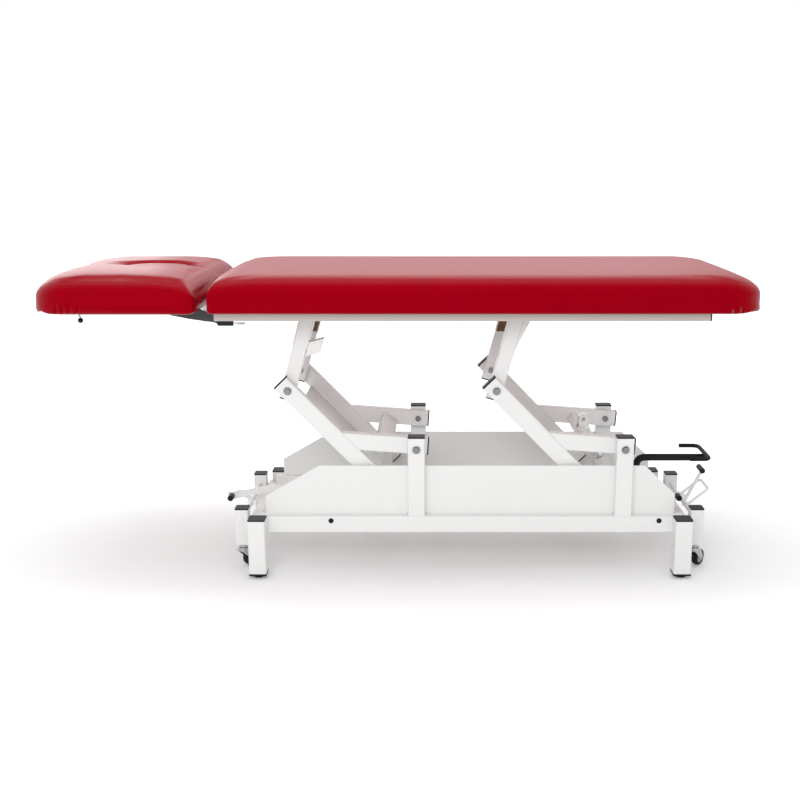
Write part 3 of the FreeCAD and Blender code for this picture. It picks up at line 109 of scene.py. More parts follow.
def moulded_plastic(name, colour, worn_colour, roughness, grain):
    """Injection-moulded polyamide or polyethylene: a dull skin with a fine spark-eroded grain."""
    material, tree, shader, place = start_material(name, roughness, IOR=1.49, Specular_IOR_Level=0.25)
    speckle = add_node(tree, "ShaderNodeTexNoise", {"Vector": place, "Scale": per_metre(25), "Detail": 4.0})
    tint = add_node(tree, "ShaderNodeMix", {0: speckle.outputs["Fac"], 6: srgb(colour), 7: srgb(worn_colour)},
                    data_type="RGBA")
    tree.links.new(tint.outputs[2], shader.inputs["Base Color"])
    skin = add_node(tree, "ShaderNodeTexNoise", {"Vector": place, "Scale": per_metre(grain), "Detail": 3.0})
    bump = add_node(tree, "ShaderNodeBump", {"Strength": 0.25, "Distance": 0.2 * MM, "Height": skin.outputs["Fac"]})
    tree.links.new(bump.outputs["Normal"], shader.inputs["Normal"])
    return material


def plated_steel(name, colour, cloud_colour, roughness):
    """Zinc or chrome plating on steel: a bright skin with faint clouding and draw marks."""
    material, tree, shader, place = start_material(name, roughness, Metallic=1.0)
    cloud = add_node(tree, "ShaderNodeTexNoise", {"Vector": place, "Scale": per_metre(9), "Detail": 4.0})
    tint = add_node(tree, "ShaderNodeMix", {0: cloud.outputs["Fac"], 6: srgb(colour), 7: srgb(cloud_colour)},
                    data_type="RGBA")
    tree.links.new(tint.outputs[2], shader.inputs["Base Color"])
    dull = add_node(tree, "ShaderNodeMapRange", {"Value": cloud.outputs["Fac"], "To Min": roughness * 0.8,
                                                 "To Max": roughness * 1.3})
    tree.links.new(dull.outputs["Result"], shader.inputs["Roughness"])
    return material


def moulded_rubber(name, colour, dusty_colour):
    """Black rubber or dipped PVC: matt, very slightly dusty, with a pebbled skin."""
    material, tree, shader, place = start_material(name, 0.6, IOR=1.52, Specular_IOR_Level=0.2)
    dust = add_node(tree, "ShaderNodeTexNoise", {"Vector": place, "Scale": per_metre(14), "Detail": 5.0})
    tint = add_node(tree, "ShaderNodeMix", {0: dust.outputs["Fac"], 6: srgb(colour), 7: srgb(dusty_colour)},
                    data_type="RGBA")
    tree.links.new(tint.outputs[2], shader.inputs["Base Color"])
    pebble = add_node(tree, "ShaderNodeTexVoronoi", {"Vector": place, "Scale": per_metre(1.5)})
    bump = add_node(tree, "ShaderNodeBump", {"Strength": 0.2, "Distance": 0.2 * MM,
                                             "Height": pebble.outputs["Distance"]})
    tree.links.new(bump.outputs["Normal"], shader.inputs["Normal"])
    return material


def birch_plywood(name):
    """Bare rotary-cut plywood: brown, with long wavy grain and darker streaks."""
    material, tree, shader, place = start_material(name, 0.7, IOR=1.5)
    # Grain lines lie about 6 mm apart and run ten times as long
    stretched = add_node(tree, "ShaderNodeMapping", {"Vector": place, "Scale": (0.1, 1.0, 1.0)})
    grain = add_node(tree, "ShaderNodeTexNoise", {"Vector": stretched.outputs["Vector"], "Scale": per_metre(6),
                                                  "Detail": 6.0, "Distortion": 1.2})
    tint = add_node(tree, "ShaderNodeMix", {0: grain.outputs["Fac"], 6: srgb("#7E5A3E"), 7: srgb("#553520")},
                    data_type="RGBA")
    tree.links.new(tint.outputs[2], shader.inputs["Base Color"])
    bump = add_node(tree, "ShaderNodeBump", {"Strength": 0.2, "Distance": 0.3 * MM, "Height": grain.outputs["Fac"]})
    tree.links.new(bump.outputs["Normal"], shader.inputs["Normal"])
    return material


def red_leatherette(name):
    """PVC-coated cloth: deep red, embossed with a small leather grain under a soft satin topcoat."""
    material, tree, shader, place = start_material(name, 0.36, IOR=1.5, Specular_IOR_Level=0.26)
    shader.inputs["Specular Tint"].default_value = srgb("#A02030")
    cloud = add_node(tree, "ShaderNodeTexNoise", {"Vector": place, "Scale": per_metre(70), "Detail": 3.0})
    tint = add_node(tree, "ShaderNodeMix", {0: cloud.outputs["Fac"], 6: srgb("#AC0019"), 7: srgb("#9E0014")},
                    data_type="RGBA")
    # Grain cells are about 1 mm across; they are drawn at 1.8 mm so that they show
    warp = add_node(tree, "ShaderNodeTexNoise", {"Vector": place, "Scale": per_metre(5), "Detail": 2.0})
    bent = add_node(tree, "ShaderNodeVectorMath", {0: warp.outputs["Color"], 1: (0.002, 0.002, 0.002)},
                    operation="MULTIPLY")
    where = add_node(tree, "ShaderNodeVectorMath", {0: place, 1: bent.outputs["Vector"]}, operation="ADD")
    cells = add_node(tree, "ShaderNodeTexVoronoi", {"Vector": where.outputs["Vector"], "Scale": per_metre(1.8)},
                     feature="DISTANCE_TO_EDGE")
    valley = add_node(tree, "ShaderNodeMapRange", {"Value": cells.outputs["Distance"], "From Max": 0.25})
    # The grain's valleys are darkened: painted shade in the recesses of the embossing
    dark = add_node(tree, "ShaderNodeMix", {0: valley.outputs["Result"], 6: srgb("#860011"),
                                            7: tint.outputs[2]}, data_type="RGBA")
    tree.links.new(dark.outputs[2], shader.inputs["Base Color"])
    bump = add_node(tree, "ShaderNodeBump", {"Strength": 0.35, "Distance": 0.15 * MM,
                                             "Height": valley.outputs["Result"]})
    tree.links.new(bump.outputs["Normal"], shader.inputs["Normal"])
    return material


WHITE_COAT = powder_coat("white_powder_coat", "#EDEDEC", "#E9E9E8", 0.38)
# The rails and cross tubes wear the white coat darkened and warmed: painted shade from the cushion's overhang, with a
# painted reflection of the red cushion
RAIL_PAINTED_SHADE_COAT = powder_coat("white_coat_painted_shade_and_red_reflection", "#C9C0BB", "#C2B9B4", 0.42)
# A greyer copy of the white coat for the legs' upper sleeves: painted shade from the frame above them
SLEEVE_PAINTED_SHADE_COAT = powder_coat("sleeve_white_coat_painted_shade", "#E0E0DF", "#DBDBDA", 0.4)
BLACK_COAT = powder_coat("satin_black_powder_coat", "#171717", "#1E1E1E", 0.35)
GREY_ENAMEL = powder_coat("grey_enamel", "#55575A", "#4E5053", 0.3)
BLACK_PLASTIC = moulded_plastic("black_polyethylene", "#0A0A0A", "#121212", 0.5, 1.2)
KNOB_PLASTIC = moulded_plastic("black_phenolic_knob", "#050505", "#080808", 0.15, 3.0)
HUB_NYLON = moulded_plastic("grey_nylon_hub", "#B9BCBF", "#A6A9AC", 0.45, 1.5)
BLACK_RUBBER = moulded_rubber("black_rubber", "#131313", "#1E1E1E")
DIPPED_PVC = moulded_rubber("dipped_pvc_handle", "#101010", "#181818")
BOLT_ZINC = plated_steel("dulled_zinc_bolt", "#8B8C8E", "#747678", 0.45)
ZINC = plated_steel("zinc_plated_steel", "#C4C7C9", "#A9ADB0", 0.3)
CHROME = plated_steel("hard_chrome", "#DADCDD", "#CFD1D2", 0.08)
PLYWOOD = birch_plywood("bare_plywood")
LEATHERETTE = red_leatherette("red_leatherette")

FINISH_OF_SLOT = {
    "white_powder_coat": WHITE_COAT,
    "black_plastic": BLACK_PLASTIC,
    "black_knob": KNOB_PLASTIC,
    "rubber_glide": BLACK_RUBBER,
    "black_steel": BLACK_COAT,
    "zinc_steel": ZINC,
    "ram_chrome": CHROME,
    "ram_grey": GREY_ENAMEL,
    "castor_tyre": BLACK_RUBBER,
    "plywood": PLYWOOD,
    "red_leatherette": LEATHERETTE,
}
FINISH_OF_NODE = {"bed_rails": RAIL_PAINTED_SHADE_COAT, "bed_cross_tubes": RAIL_PAINTED_SHADE_COAT, "pump_lever": DIPPED_PVC,
                  "head_hinge_pins": BLACK_COAT, "lift_pivot_bolts": BOLT_ZINC,
                  "left_knee_bolts": BOLT_ZINC, "right_knee_bolts": BOLT_ZINC, "ram_cylinder": WHITE_COAT}


def dress(piece, material):
    piece.data.materials.clear()
    piece.data.materials.append(material)


def joint_place(name):
    """Where a hinge sits at rest."""
    return next(joint["pos_m"] for joint in frame["joints"] if joint["name"] == name)


def finish_cad_nodes():
    for row in frame["record"]["subparts"]:
        node = frame["nodes"][row["node"]]
        dress(node, FINISH_OF_NODE.get(row["node"], FINISH_OF_SLOT[row["material_slot"]]))


def piece_from(bm, name, material, smooth=True):
    """Makes a named piece of a bmesh and frees it."""
    mesh = bpy.data.meshes.new(name)
    bm.to_mesh(mesh)
    bm.free()
    piece = bpy.data.objects.new(name, mesh)
    bpy.context.scene.collection.objects.link(piece)
    for polygon in mesh.polygons:
        polygon.use_smooth = smooth
    dress(piece, material)
    return piece


# Shaping tools
SAME_PLACE = 1e-5
BEND_STEPS = 8
SPIN_STEPS = 48
ROUND_STEPS = 3


def finish_piece(piece, slot, body, *nodes):
    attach(piece, body)
    if nodes:
        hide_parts(*nodes)


def edges_at(bm, axis, value):
    """The edges that lie wholly in one plane."""
    return [e for e in bm.edges if all(abs(v.co[axis] - value) < SAME_PLACE for v in e.verts)]


def bevel(bm, edges, offset, segments):
    bmesh.ops.bevel(bm, geom=edges, offset=offset, offset_type="OFFSET", segments=segments, profile=0.5,
                    affect="EDGES", material=-1)


def applied_mesh(piece):
    """The piece's mesh with its modifiers worked in."""
    graph = bpy.context.evaluated_depsgraph_get()
    return bpy.data.meshes.new_from_object(piece.evaluated_get(graph))


def work_in(piece):
    mesh = applied_mesh(piece)
    piece.modifiers.clear()
    piece.data = mesh


def prism(outline, y0, y1, name, material, round_by=0.0):
    """A plate or bar whose side view is the (x, z) outline, from y0 to y1."""
    bm = bmesh.new()
    face = bm.faces.new([bm.verts.new((x, y0, z)) for x, z in outline])
    made = bmesh.ops.extrude_face_region(bm, geom=[face])["geom"]
    bmesh.ops.translate(bm, vec=(0, y1 - y0, 0), verts=[v for v in made if isinstance(v, bmesh.types.BMVert)])
    bmesh.ops.recalc_face_normals(bm, faces=bm.faces)
    if round_by:
        bevel(bm, bm.edges[:], round_by, ROUND_STEPS)
    return piece_from(bm, name, material, smooth=False)


def turned_box(centre, along, across, angle):
    """A rectangle in side view, its long side sloping down to the right by the angle."""
    cos, sin = math.cos(angle), math.sin(angle)
    return [(centre.x + u * cos + w * sin, centre.z - u * sin + w * cos)
            for u, w in ((-along, -across), (along, -across), (along, across), (-along, across))]


def joined(pieces, name):
    """One piece of several closed solids."""
    bm = bmesh.new()
    for piece in pieces:
        bm.from_mesh(piece.data)
    material = pieces[0].data.materials[0]
    for piece in pieces:
        bpy.data.objects.remove(piece)
    return piece_from(bm, name, material, smooth=False)


def wire(points, radius, bend, name, material):
    """A round bar along straight runs with rounded corners."""
    points = [Vector(p) for p in points]
    path = [points[0]]
    for before, corner, after in zip(points, points[1:], points[2:]):
        start = corner + (before - corner).normalized() * bend
        end = corner + (after - corner).normalized() * bend
        for step in range(BEND_STEPS + 1):
            t = step / BEND_STEPS
            path.append(start * (1 - t) ** 2 + corner * 2 * t * (1 - t) + end * t ** 2)
    path.append(points[-1])
    line = bpy.data.curves.new(name, "CURVE")
    line.dimensions = "3D"
    line.bevel_depth = radius
    line.bevel_resolution = 6
    line.use_fill_caps = True
    spline = line.splines.new("POLY")
    spline.points.add(len(path) - 1)
    for spot, place in zip(spline.points, path):
        spot.co = (*place, 1)
    carrier = bpy.data.objects.new(name + "_line", line)
    bpy.context.scene.collection.objects.link(carrier)
    mesh = applied_mesh(carrier)
    bpy.data.objects.remove(carrier)
    bm = bmesh.new()
    bm.from_mesh(mesh)
    bmesh.ops.remove_doubles(bm, verts=bm.verts, dist=SAME_PLACE / 10)
    bmesh.ops.recalc_face_normals(bm, faces=bm.faces)
    return piece_from(bm, name, material)


def spun(profile, name, material, turn, centre):
    """Spins a closed (radius, along) profile about the axle and puts it in place."""
    bm = bmesh.new()
    corners = [bm.verts.new((radius, along, 0)) for radius, along in profile]
    for first, second in zip(corners, corners[1:] + corners[:1]):
        bm.edges.new((first, second))
    bmesh.ops.spin(bm, geom=bm.verts[:] + bm.edges[:], cent=(0, 0, 0), axis=(0, 1, 0), angle=math.tau, steps=SPIN_STEPS,
                   use_merge=True)
    bmesh.ops.recalc_face_normals(bm, faces=bm.faces)
    bmesh.ops.rotate(bm, cent=(0, 0, 0), matrix=Matrix.Rotation(turn, 3, "Z"), verts=bm.verts)
    bmesh.ops.translate(bm, vec=centre, verts=bm.verts)
    return piece_from(bm, name, material)


# Cushions
HEAD_LOW, HEAD_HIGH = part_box("head_cushion")
MAIN_LOW, MAIN_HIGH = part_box("main_cushion")
PLUG_LOW, PLUG_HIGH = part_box("face_plug")
OUTER_CORNER = 90 * MM
INNER_CORNER = 18 * MM
CORNER_SEGMENTS = 12
TOP_ROUND = 34 * MM
BOTTOM_ROUND = 8 * MM
RIM_SEGMENTS = 6

# How far a top falls along its sides, at its ends and further at its corners, and how far its middle rises
END_SLOPE = 150 * MM
MAIN_CROWN = {"sides": 8 * MM, "left": 6 * MM, "right": 18 * MM, "corners": 12 * MM, "lift": 1 * MM}
HEAD_CROWN = {"sides": 14 * MM, "left": 20 * MM, "right": 10 * MM, "corners": 12 * MM, "lift": 3 * MM}

# The cloth: the first shape lies a little inside the CAD box, and the foam may push it out by SWELL
SHRINK = 1.5 * MM
SWELL = 7 * MM
HELD_RIM = 6 * MM
VOXEL = 8 * MM
HEAD_VOXEL = 0.75 * VOXEL
CLOTH_FRAMES = 20
IRON_PASSES = 24

# The cover's bottom rim, rolled down past the board
BOARD_LAP = 7 * MM
LAP_WIDTH = 24 * MM
LAP_HEIGHT = 45 * MM

# Upright tucks at the bottom of the outer corners: where they are centred, how far they reach, how many
TUCK_TOP = 32 * MM
TUCK_HEIGHT = 22 * MM
TUCK_DEPTH = 4.5 * MM
MAIN_TUCKS = {"turn": 88, "reach": 16, "tucks": 2}
HEAD_TUCKS = {"turn": 77, "reach": 24, "tucks": 4}

# The flap of spare cloth at the inner corners
FLAP_START = 14 * MM
FLAP_SKIN = 14 * MM
FLAP_REACH = 60 * MM
FLAP_TOP_WIDTH = 5 * MM
FLAP_BOTTOM_WIDTH = 24 * MM
FLAP_DEPTH = 2.2 * MM
FLAP_EDGE = 4 * MM
CREASE_DEPTH = 2.6 * MM
CREASE_WIDTH = 3 * MM
SMALL_CREASE_DEPTH = 0.6 * CREASE_DEPTH
SMALL_CREASE_WIDTH = 2.6 * MM
SMALL_CREASE_PLACE = 0.45

# The face hole and the pad in it
HOLE_MARGIN = 8 * MM
HOLE_DEPTH_SPARE = 0.1
DISH_DEPTH = 3.5 * MM
DISH_WIDTH = 10 * MM
DISH_BAND = 20 * MM
DISH_REACH = 120 * MM
PLUG_INSET = 4 * MM
PLUG_RISE = 3 * MM
PLUG_ROUND = 12 * MM
PLUG_SEGMENTS = 64
HOLE_SEGMENTS = 48
PLUG_VOXEL = 4 * MM
PLUG_SWELL = 5 * MM
PLUG_HELD = 10 * MM


def foam_block(low, high, left_corner, right_corner):
    """A block with rounded plan corners, a soft top rim and a tighter bottom rim."""
    bm = bmesh.new()
    bmesh.ops.create_cube(bm, size=1.0)
    bmesh.ops.scale(bm, vec=high - low, verts=bm.verts)
    bmesh.ops.translate(bm, vec=(low + high) / 2, verts=bm.verts)
    for x, radius in ((low.x, left_corner), (high.x, right_corner)):
        uprights = [e for e in edges_at(bm, 0, x) if abs(e.verts[0].co.z - e.verts[1].co.z) > SAME_PLACE]
        bevel(bm, uprights, radius, CORNER_SEGMENTS)
    bevel(bm, edges_at(bm, 2, high.z), TOP_ROUND, RIM_SEGMENTS)
    bevel(bm, edges_at(bm, 2, low.z), BOTTOM_ROUND, RIM_SEGMENTS)
    return bm


def oval_prism(low, high, segments):
    """An oval block that fills a box in plan."""
    bm = bmesh.new()
    bmesh.ops.create_cone(bm, cap_ends=True, segments=segments, radius1=0.5, radius2=0.5, depth=1.0)
    bmesh.ops.scale(bm, vec=high - low, verts=bm.verts)
    bmesh.ops.translate(bm, vec=(low + high) / 2, verts=bm.verts)
    return bm


def cut_by(piece, cutter):
    """Cuts one piece out of another and removes the cutter."""
    cut = piece.modifiers.new("cut", "BOOLEAN")
    cut.operation = "DIFFERENCE"
    cut.solver = "EXACT"
    cut.object = cutter
    work_in(piece)
    bpy.data.objects.remove(cutter)


def remesh(piece, size):
    even = piece.modifiers.new("even", "REMESH")
    even.mode = "VOXEL"
    even.voxel_size = size
    work_in(piece)


def stuff(piece, swell, held_below):
    """Blows the cover out a little, as the foam inside does, and leaves the part on the board as it is."""
    start = [v.co.copy() for v in piece.data.vertices]
    held = piece.vertex_groups.new(name="held")
    held.add([v.index for v in piece.data.vertices if v.co.z < held_below], 1.0, "REPLACE")
    cloth = piece.modifiers.new("cloth", "CLOTH")
    cloth.settings.quality = 4
    cloth.settings.mass = 0.4
    cloth.settings.tension_stiffness = 30.0
    cloth.settings.compression_stiffness = 30.0
    cloth.settings.shear_stiffness = 15.0
    cloth.settings.bending_stiffness = 4.0
    cloth.settings.use_pressure = True
    cloth.settings.uniform_pressure_force = 4.0
    cloth.settings.vertex_group_mass = "held"
    cloth.settings.effector_weights.gravity = 0.0
    cloth.point_cache.frame_start = 1
    cloth.point_cache.frame_end = CLOTH_FRAMES
    for number in range(1, CLOTH_FRAMES + 1):
        bpy.context.scene.frame_set(number)
    work_in(piece)
    piece.vertex_groups.clear()
    bpy.context.scene.frame_set(1)
    ironed = piece.modifiers.new("ironed", "SMOOTH")
    ironed.factor = 0.5
    ironed.iterations = IRON_PASSES
    work_in(piece)
    for vertex, first in zip(piece.data.vertices, start):
        move = vertex.co - first
        if move.length > swell:
            vertex.co = first + move.normalized() * swell


def smooth_step(value):
    value = max(0.0, min(1.0, value))
    return value * value * (3 - 2 * value)


def subdivide(piece):
    """Halves the faces, so that a crisp fold has points to stand on."""
    finer = piece.modifiers.new("finer", "SUBSURF")
    finer.levels = 1
    finer.render_levels = 1
    work_in(piece)


def crown(piece, low, high, sides, left, right, corners, lift):
    """Lets the top fall away to its edges, and further at the ends and the corners, as pulled-down foam does."""
    for vertex in piece.data.vertices:
        across = min(1.0, abs(vertex.co.y) / high.y) ** 4
        from_left = max(0.0, 1 - (vertex.co.x - low.x) / END_SLOPE) ** 2
        from_right = max(0.0, 1 - (high.x - vertex.co.x) / END_SLOPE) ** 2
        drop = sides * across + (left + corners * across) * from_left + (right + corners * across) * from_right - lift
        vertex.co.z -= drop * (vertex.co.z - low.z) / (high.z - low.z)


def lap_over_board(piece, low, high):
    """Rolls the cover's bottom rim down past the board's edge, where it is stapled underneath."""
    for vertex in piece.data.vertices:
        from_rim = min(vertex.co.x - low.x, high.x - vertex.co.x, high.y - abs(vertex.co.y))
        rim = smooth_step(1 - (from_rim - LAP_WIDTH / 2) / LAP_WIDTH)
        vertex.co.z -= BOARD_LAP * rim * smooth_step((low.z + LAP_HEIGHT - vertex.co.z) / LAP_HEIGHT)


def tuck_corner(piece, centre, top, turn, reach, tucks):
    """Short upright tucks round a bottom corner, where the cover is gathered and stapled under."""
    for vertex in piece.data.vertices:
        offset = Vector((vertex.co.x - centre.x, vertex.co.y - centre.y))
        if vertex.co.z > top or offset.length < SAME_PLACE:
            continue
        angle = math.degrees(math.atan2(offset.y, offset.x))
        away = (angle - turn + 180) % 360 - 180
        if abs(away) > reach:
            continue
        drop = smooth_step((top - vertex.co.z) / TUCK_HEIGHT)
        fade = drop * smooth_step((reach - abs(away)) / (reach * 0.3))
        wave = 0.5 + 0.5 * math.cos(math.radians(away * tucks * 180 / reach))
        inward = TUCK_DEPTH * fade * (1 - wave) ** 4
        offset.normalize()
        vertex.co.x -= offset.x * inward
        vertex.co.y -= offset.y * inward


def fold_corner(piece, corner, inward_x, top, bottom):
    """The cover's spare cloth laid back as one flap beside a tight corner, its edge leaning away downwards."""
    for vertex in piece.data.vertices:
        along = (vertex.co.x - corner.x) * inward_x
        outside = abs(vertex.co.y) - (corner.y - FLAP_SKIN)
        if along > FLAP_REACH or outside < 0 or vertex.co.z > top:
            continue
        share = (top - vertex.co.z) / (top - bottom)
        edge = FLAP_TOP_WIDTH + (FLAP_BOTTOM_WIDTH - FLAP_TOP_WIDTH) * share
        flap = smooth_step((edge - along) / FLAP_EDGE)
        crease = math.exp(-((along - edge - FLAP_EDGE / 2) / CREASE_WIDTH) ** 2)
        small = math.exp(-((along - edge * SMALL_CREASE_PLACE) / SMALL_CREASE_WIDTH) ** 2)
        rise = FLAP_DEPTH * flap - CREASE_DEPTH * crease - SMALL_CREASE_DEPTH * small
        rise *= smooth_step(share * 5)
        vertex.co.y += math.copysign(rise, vertex.co.y)


def soften(piece):
    for polygon in piece.data.polygons:
        polygon.use_smooth = True
    dress(piece, LEATHERETTE)


def shrunk(low, high):
    """The box of the cover before the foam fills it out."""
    return low + Vector((SHRINK, SHRINK, 0)), high - Vector((SHRINK, SHRINK, SHRINK))


def shape_cover(cover, low, high, fall, outer_x, outer_way, inner_x, tucks):
    """The cover's crown, its rolled rim, the tucks at its outer corners and the folds at its inner ones."""
    subdivide(cover)
    crown(cover, low, high, **fall)
    lap_over_board(cover, low, high)
    for side in (-1, 1):
        centre = Vector((outer_x + outer_way * OUTER_CORNER, side * (high.y - OUTER_CORNER)))
        tuck_corner(cover, centre, low.z + TUCK_TOP, side * tucks["turn"], tucks["reach"], tucks["tucks"])
    fold_corner(cover, Vector((inner_x, high.y)), -outer_way, high.z - FLAP_START, low.z)
    soften(cover)


def make_main_cushion():
    low, high = shrunk(MAIN_LOW, MAIN_HIGH)
    cover = piece_from(foam_block(low, high, INNER_CORNER, OUTER_CORNER), "main_cushion_cover", LEATHERETTE)
    remesh(cover, VOXEL)
    stuff(cover, SWELL, low.z + HELD_RIM)
    shape_cover(cover, low, high, MAIN_CROWN, high.x, -1, low.x, MAIN_TUCKS)
    finish_piece(cover, "red_leatherette", "bed", "main_cushion")


def make_head_cushion():
    low, high = shrunk(HEAD_LOW, HEAD_HIGH)
    cover = piece_from(foam_block(low, high, OUTER_CORNER, INNER_CORNER), "head_cushion_cover", LEATHERETTE)
    grow = Vector((HOLE_MARGIN, HOLE_MARGIN, HOLE_DEPTH_SPARE))
    hole = piece_from(oval_prism(PLUG_LOW - grow, PLUG_HIGH + grow, HOLE_SEGMENTS), "hole_cutter", LEATHERETTE)
    cut_by(cover, hole)
    remesh(cover, HEAD_VOXEL)
    stuff(cover, SWELL, low.z + HELD_RIM)
    dish_round_hole(cover)
    shape_cover(cover, low, high, HEAD_CROWN, low.x, 1, high.x, HEAD_TUCKS)
    finish_piece(cover, "red_leatherette", "head", "head_cushion")


def oval_distance(point):
    """About how far a point lies outside the plug's oval, in plan."""
    centre = (PLUG_LOW + PLUG_HIGH) / 2
    half = (PLUG_HIGH - PLUG_LOW) / 2
    share = math.hypot((point.x - centre.x) / half.x, (point.y - centre.y) / half.y)
    return (share - 1) * half.y


def dish_round_hole(cover):
    """Pulls the cover down towards the rim of the face hole."""
    top = HEAD_HIGH.z - DISH_BAND
    for vertex in cover.data.vertices:
        away = oval_distance(vertex.co)
        if vertex.co.z > top and away < DISH_REACH:
            vertex.co.z -= DISH_DEPTH * math.exp(-max(away, 0.0) / DISH_WIDTH)


def make_face_plug():
    """The pad in the face hole, crowned, and about level with the cushion's top."""
    low = PLUG_LOW + Vector((PLUG_INSET, PLUG_INSET, 0))
    high = PLUG_HIGH + Vector((-PLUG_INSET, -PLUG_INSET, PLUG_RISE))
    bm = oval_prism(low, high, PLUG_SEGMENTS)
    bevel(bm, edges_at(bm, 2, high.z), PLUG_ROUND, RIM_SEGMENTS)
    pad = piece_from(bm, "face_plug_pad", LEATHERETTE)
    remesh(pad, PLUG_VOXEL)
    stuff(pad, PLUG_SWELL, low.z + PLUG_HELD)
    subdivide(pad)
    soften(pad)
    finish_piece(pad, "red_leatherette", "face_plug", "face_plug")


# Steelwork with more detail than its CAD nodes. A slope goes down to the right, a lean to the right upwards
LIFT_LEFT = Vector(joint_place("bed_lift"))
LIFT_RIGHT = Vector(joint_place("right_arms_pivot"))
KNEE_LEFT = Vector(joint_place("bed_level"))
KNEE_RIGHT = KNEE_LEFT + LIFT_RIGHT - LIFT_LEFT
POST_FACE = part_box("pivot_posts")[1].y
ARM_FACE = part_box("left_lift_arms")[1].y
ARM_WIDTH = 30 * MM
LEG_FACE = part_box("left_bed_legs")[1].y
LEG_INNER = LEG_FACE - ARM_WIDTH
FRAME_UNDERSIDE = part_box("bed_rails")[0].z
LONG_ARM_SLOPE = math.radians(45.9)
LEG_LEAN = math.radians(15.6)
BAR_ROUND = 2 * MM


ROLLED_TUBE = Vector((-96, 0, -3)) * MM
ROLLED_HALF_DEPTH = 25 * MM
ROLLED_HALF_WIDTH = 15 * MM
ROLLED_SLOPE = math.radians(36)
LOW_TUBE_FROM_KNEE = 400 * MM
WEB_START = 60 * MM
WEB_END = 300 * MM
WEB_DEPTH = -18.5 * MM
WEB_THICKNESS = 3 * MM
LUG_INNER = 13 * MM
LUG_OUTER = 18 * MM
LUG_EYE = 14 * MM
LUG_STEPS = 6


def down_long_arm(knee, along, across=0.0):
    """A point on the long arm's middle line, or to its side, in side view."""
    cos, sin = math.cos(LONG_ARM_SLOPE), math.sin(LONG_ARM_SLOPE)
    return Vector((knee.x + along * cos + across * sin, 0, knee.z - along * sin + across * cos))


def arm_web(knee, name):
    """The folded sheet that ties the two long arms together."""
    middle = down_long_arm(knee, (WEB_START + WEB_END) / 2, WEB_DEPTH)
    reach = ARM_FACE - ARM_WIDTH
    return prism(turned_box(middle, (WEB_END - WEB_START) / 2, WEB_THICKNESS / 2, LONG_ARM_SLOPE), -reach, reach, name,
                 WHITE_COAT)


def make_left_arm_ties():
    reach = ARM_FACE - ARM_WIDTH
    rolled = prism(turned_box(LIFT_LEFT + ROLLED_TUBE, ROLLED_HALF_DEPTH, ROLLED_HALF_WIDTH, ROLLED_SLOPE), -reach,
                   reach, "rolled", WHITE_COAT, BAR_ROUND)
    low = prism(turned_box(down_long_arm(KNEE_LEFT, LOW_TUBE_FROM_KNEE), ROLLED_HALF_WIDTH, ROLLED_HALF_WIDTH, 0),
                -reach, reach, "low", WHITE_COAT, BAR_ROUND)
    ties = joined([rolled, low, arm_web(KNEE_LEFT, "web")], "left_arm_ties")
    finish_piece(ties, "white_powder_coat", "left_arms", "left_arm_cross_tubes")


def make_right_arm_ties():
    """The rolled tube in two lengths, with the ram's lugs on their inner ends and the ram between them."""
    centre = LIFT_RIGHT + ROLLED_TUBE
    pin = Vector(joint_place("ram_rod_pivot"))
    reach = ARM_FACE - ARM_WIDTH
    outline = turned_box(centre, ROLLED_HALF_DEPTH, ROLLED_HALF_WIDTH, ROLLED_SLOPE)
    lug = [(centre.x - ROLLED_HALF_WIDTH, centre.z)]
    for step in range(LUG_STEPS + 1):
        angle = math.pi * (1 - step / LUG_STEPS)
        lug.append((pin.x + LUG_EYE * math.cos(angle), pin.z + LUG_EYE * math.sin(angle)))
    lug.append((centre.x + ROLLED_HALF_WIDTH, centre.z))
    parts = []
    for side in (-1, 1):
        parts.append(prism(outline, side * LUG_INNER, side * reach, "stub", WHITE_COAT, BAR_ROUND))
        parts.append(prism(lug, side * LUG_INNER, side * LUG_OUTER, "lug", WHITE_COAT))
    parts.append(arm_web(KNEE_RIGHT, "web"))
    finish_piece(joined(parts, "right_arm_ties"), "white_powder_coat", "right_arms", "right_arm_cross_tubes")


BLOCK_LOW = 641 * MM
BLOCK_HIGH = 684 * MM
BLOCK_REACH = 43 * MM
BLOCK_RISE = math.tan(math.radians(15))
LEG_HALF = 22.5 * MM
SLEEVE_LENGTH = 97 * MM
GUSSET_REACH = 22 * MM


def leg_face_x(knee, z):
    """The leg's foot-side face at a height."""
    return knee.x + (z - knee.z) * math.tan(LEG_LEAN) + LEG_HALF / math.cos(LEG_LEAN)


def make_leg_blocks():
    """A stop block on the near left leg and a gusset on each right one."""
    low, high = leg_face_x(KNEE_LEFT, BLOCK_LOW), leg_face_x(KNEE_LEFT, BLOCK_HIGH)
    rise = BLOCK_REACH * BLOCK_RISE
    block = [(low, BLOCK_LOW), (low + BLOCK_REACH, BLOCK_LOW + rise), (high + BLOCK_REACH, BLOCK_HIGH + rise),
             (high, BLOCK_HIGH)]
    foot = FRAME_UNDERSIDE - SLEEVE_LENGTH
    gusset = [(leg_face_x(KNEE_RIGHT, foot), foot), (leg_face_x(KNEE_RIGHT, FRAME_UNDERSIDE) + GUSSET_REACH,
                                                     FRAME_UNDERSIDE),
              (leg_face_x(KNEE_RIGHT, FRAME_UNDERSIDE), FRAME_UNDERSIDE)]
    parts = [prism(block, -LEG_FACE, -LEG_INNER, "block", WHITE_COAT, BAR_ROUND)]
    for side in (-1, 1):
        parts.append(prism(gusset, side * LEG_INNER, side * LEG_FACE, "gusset", WHITE_COAT))
    finish_piece(joined(parts, "leg_blocks"), "white_powder_coat", "bed", "leg_braces")


# Boards that paint the brown shade on the legs under the frame
SHADE_BOARD_THICKNESS = 12 * MM
SHADE_BOARD_LOW = 672 * MM
SHADE_BOARD_HALF = 20 * MM


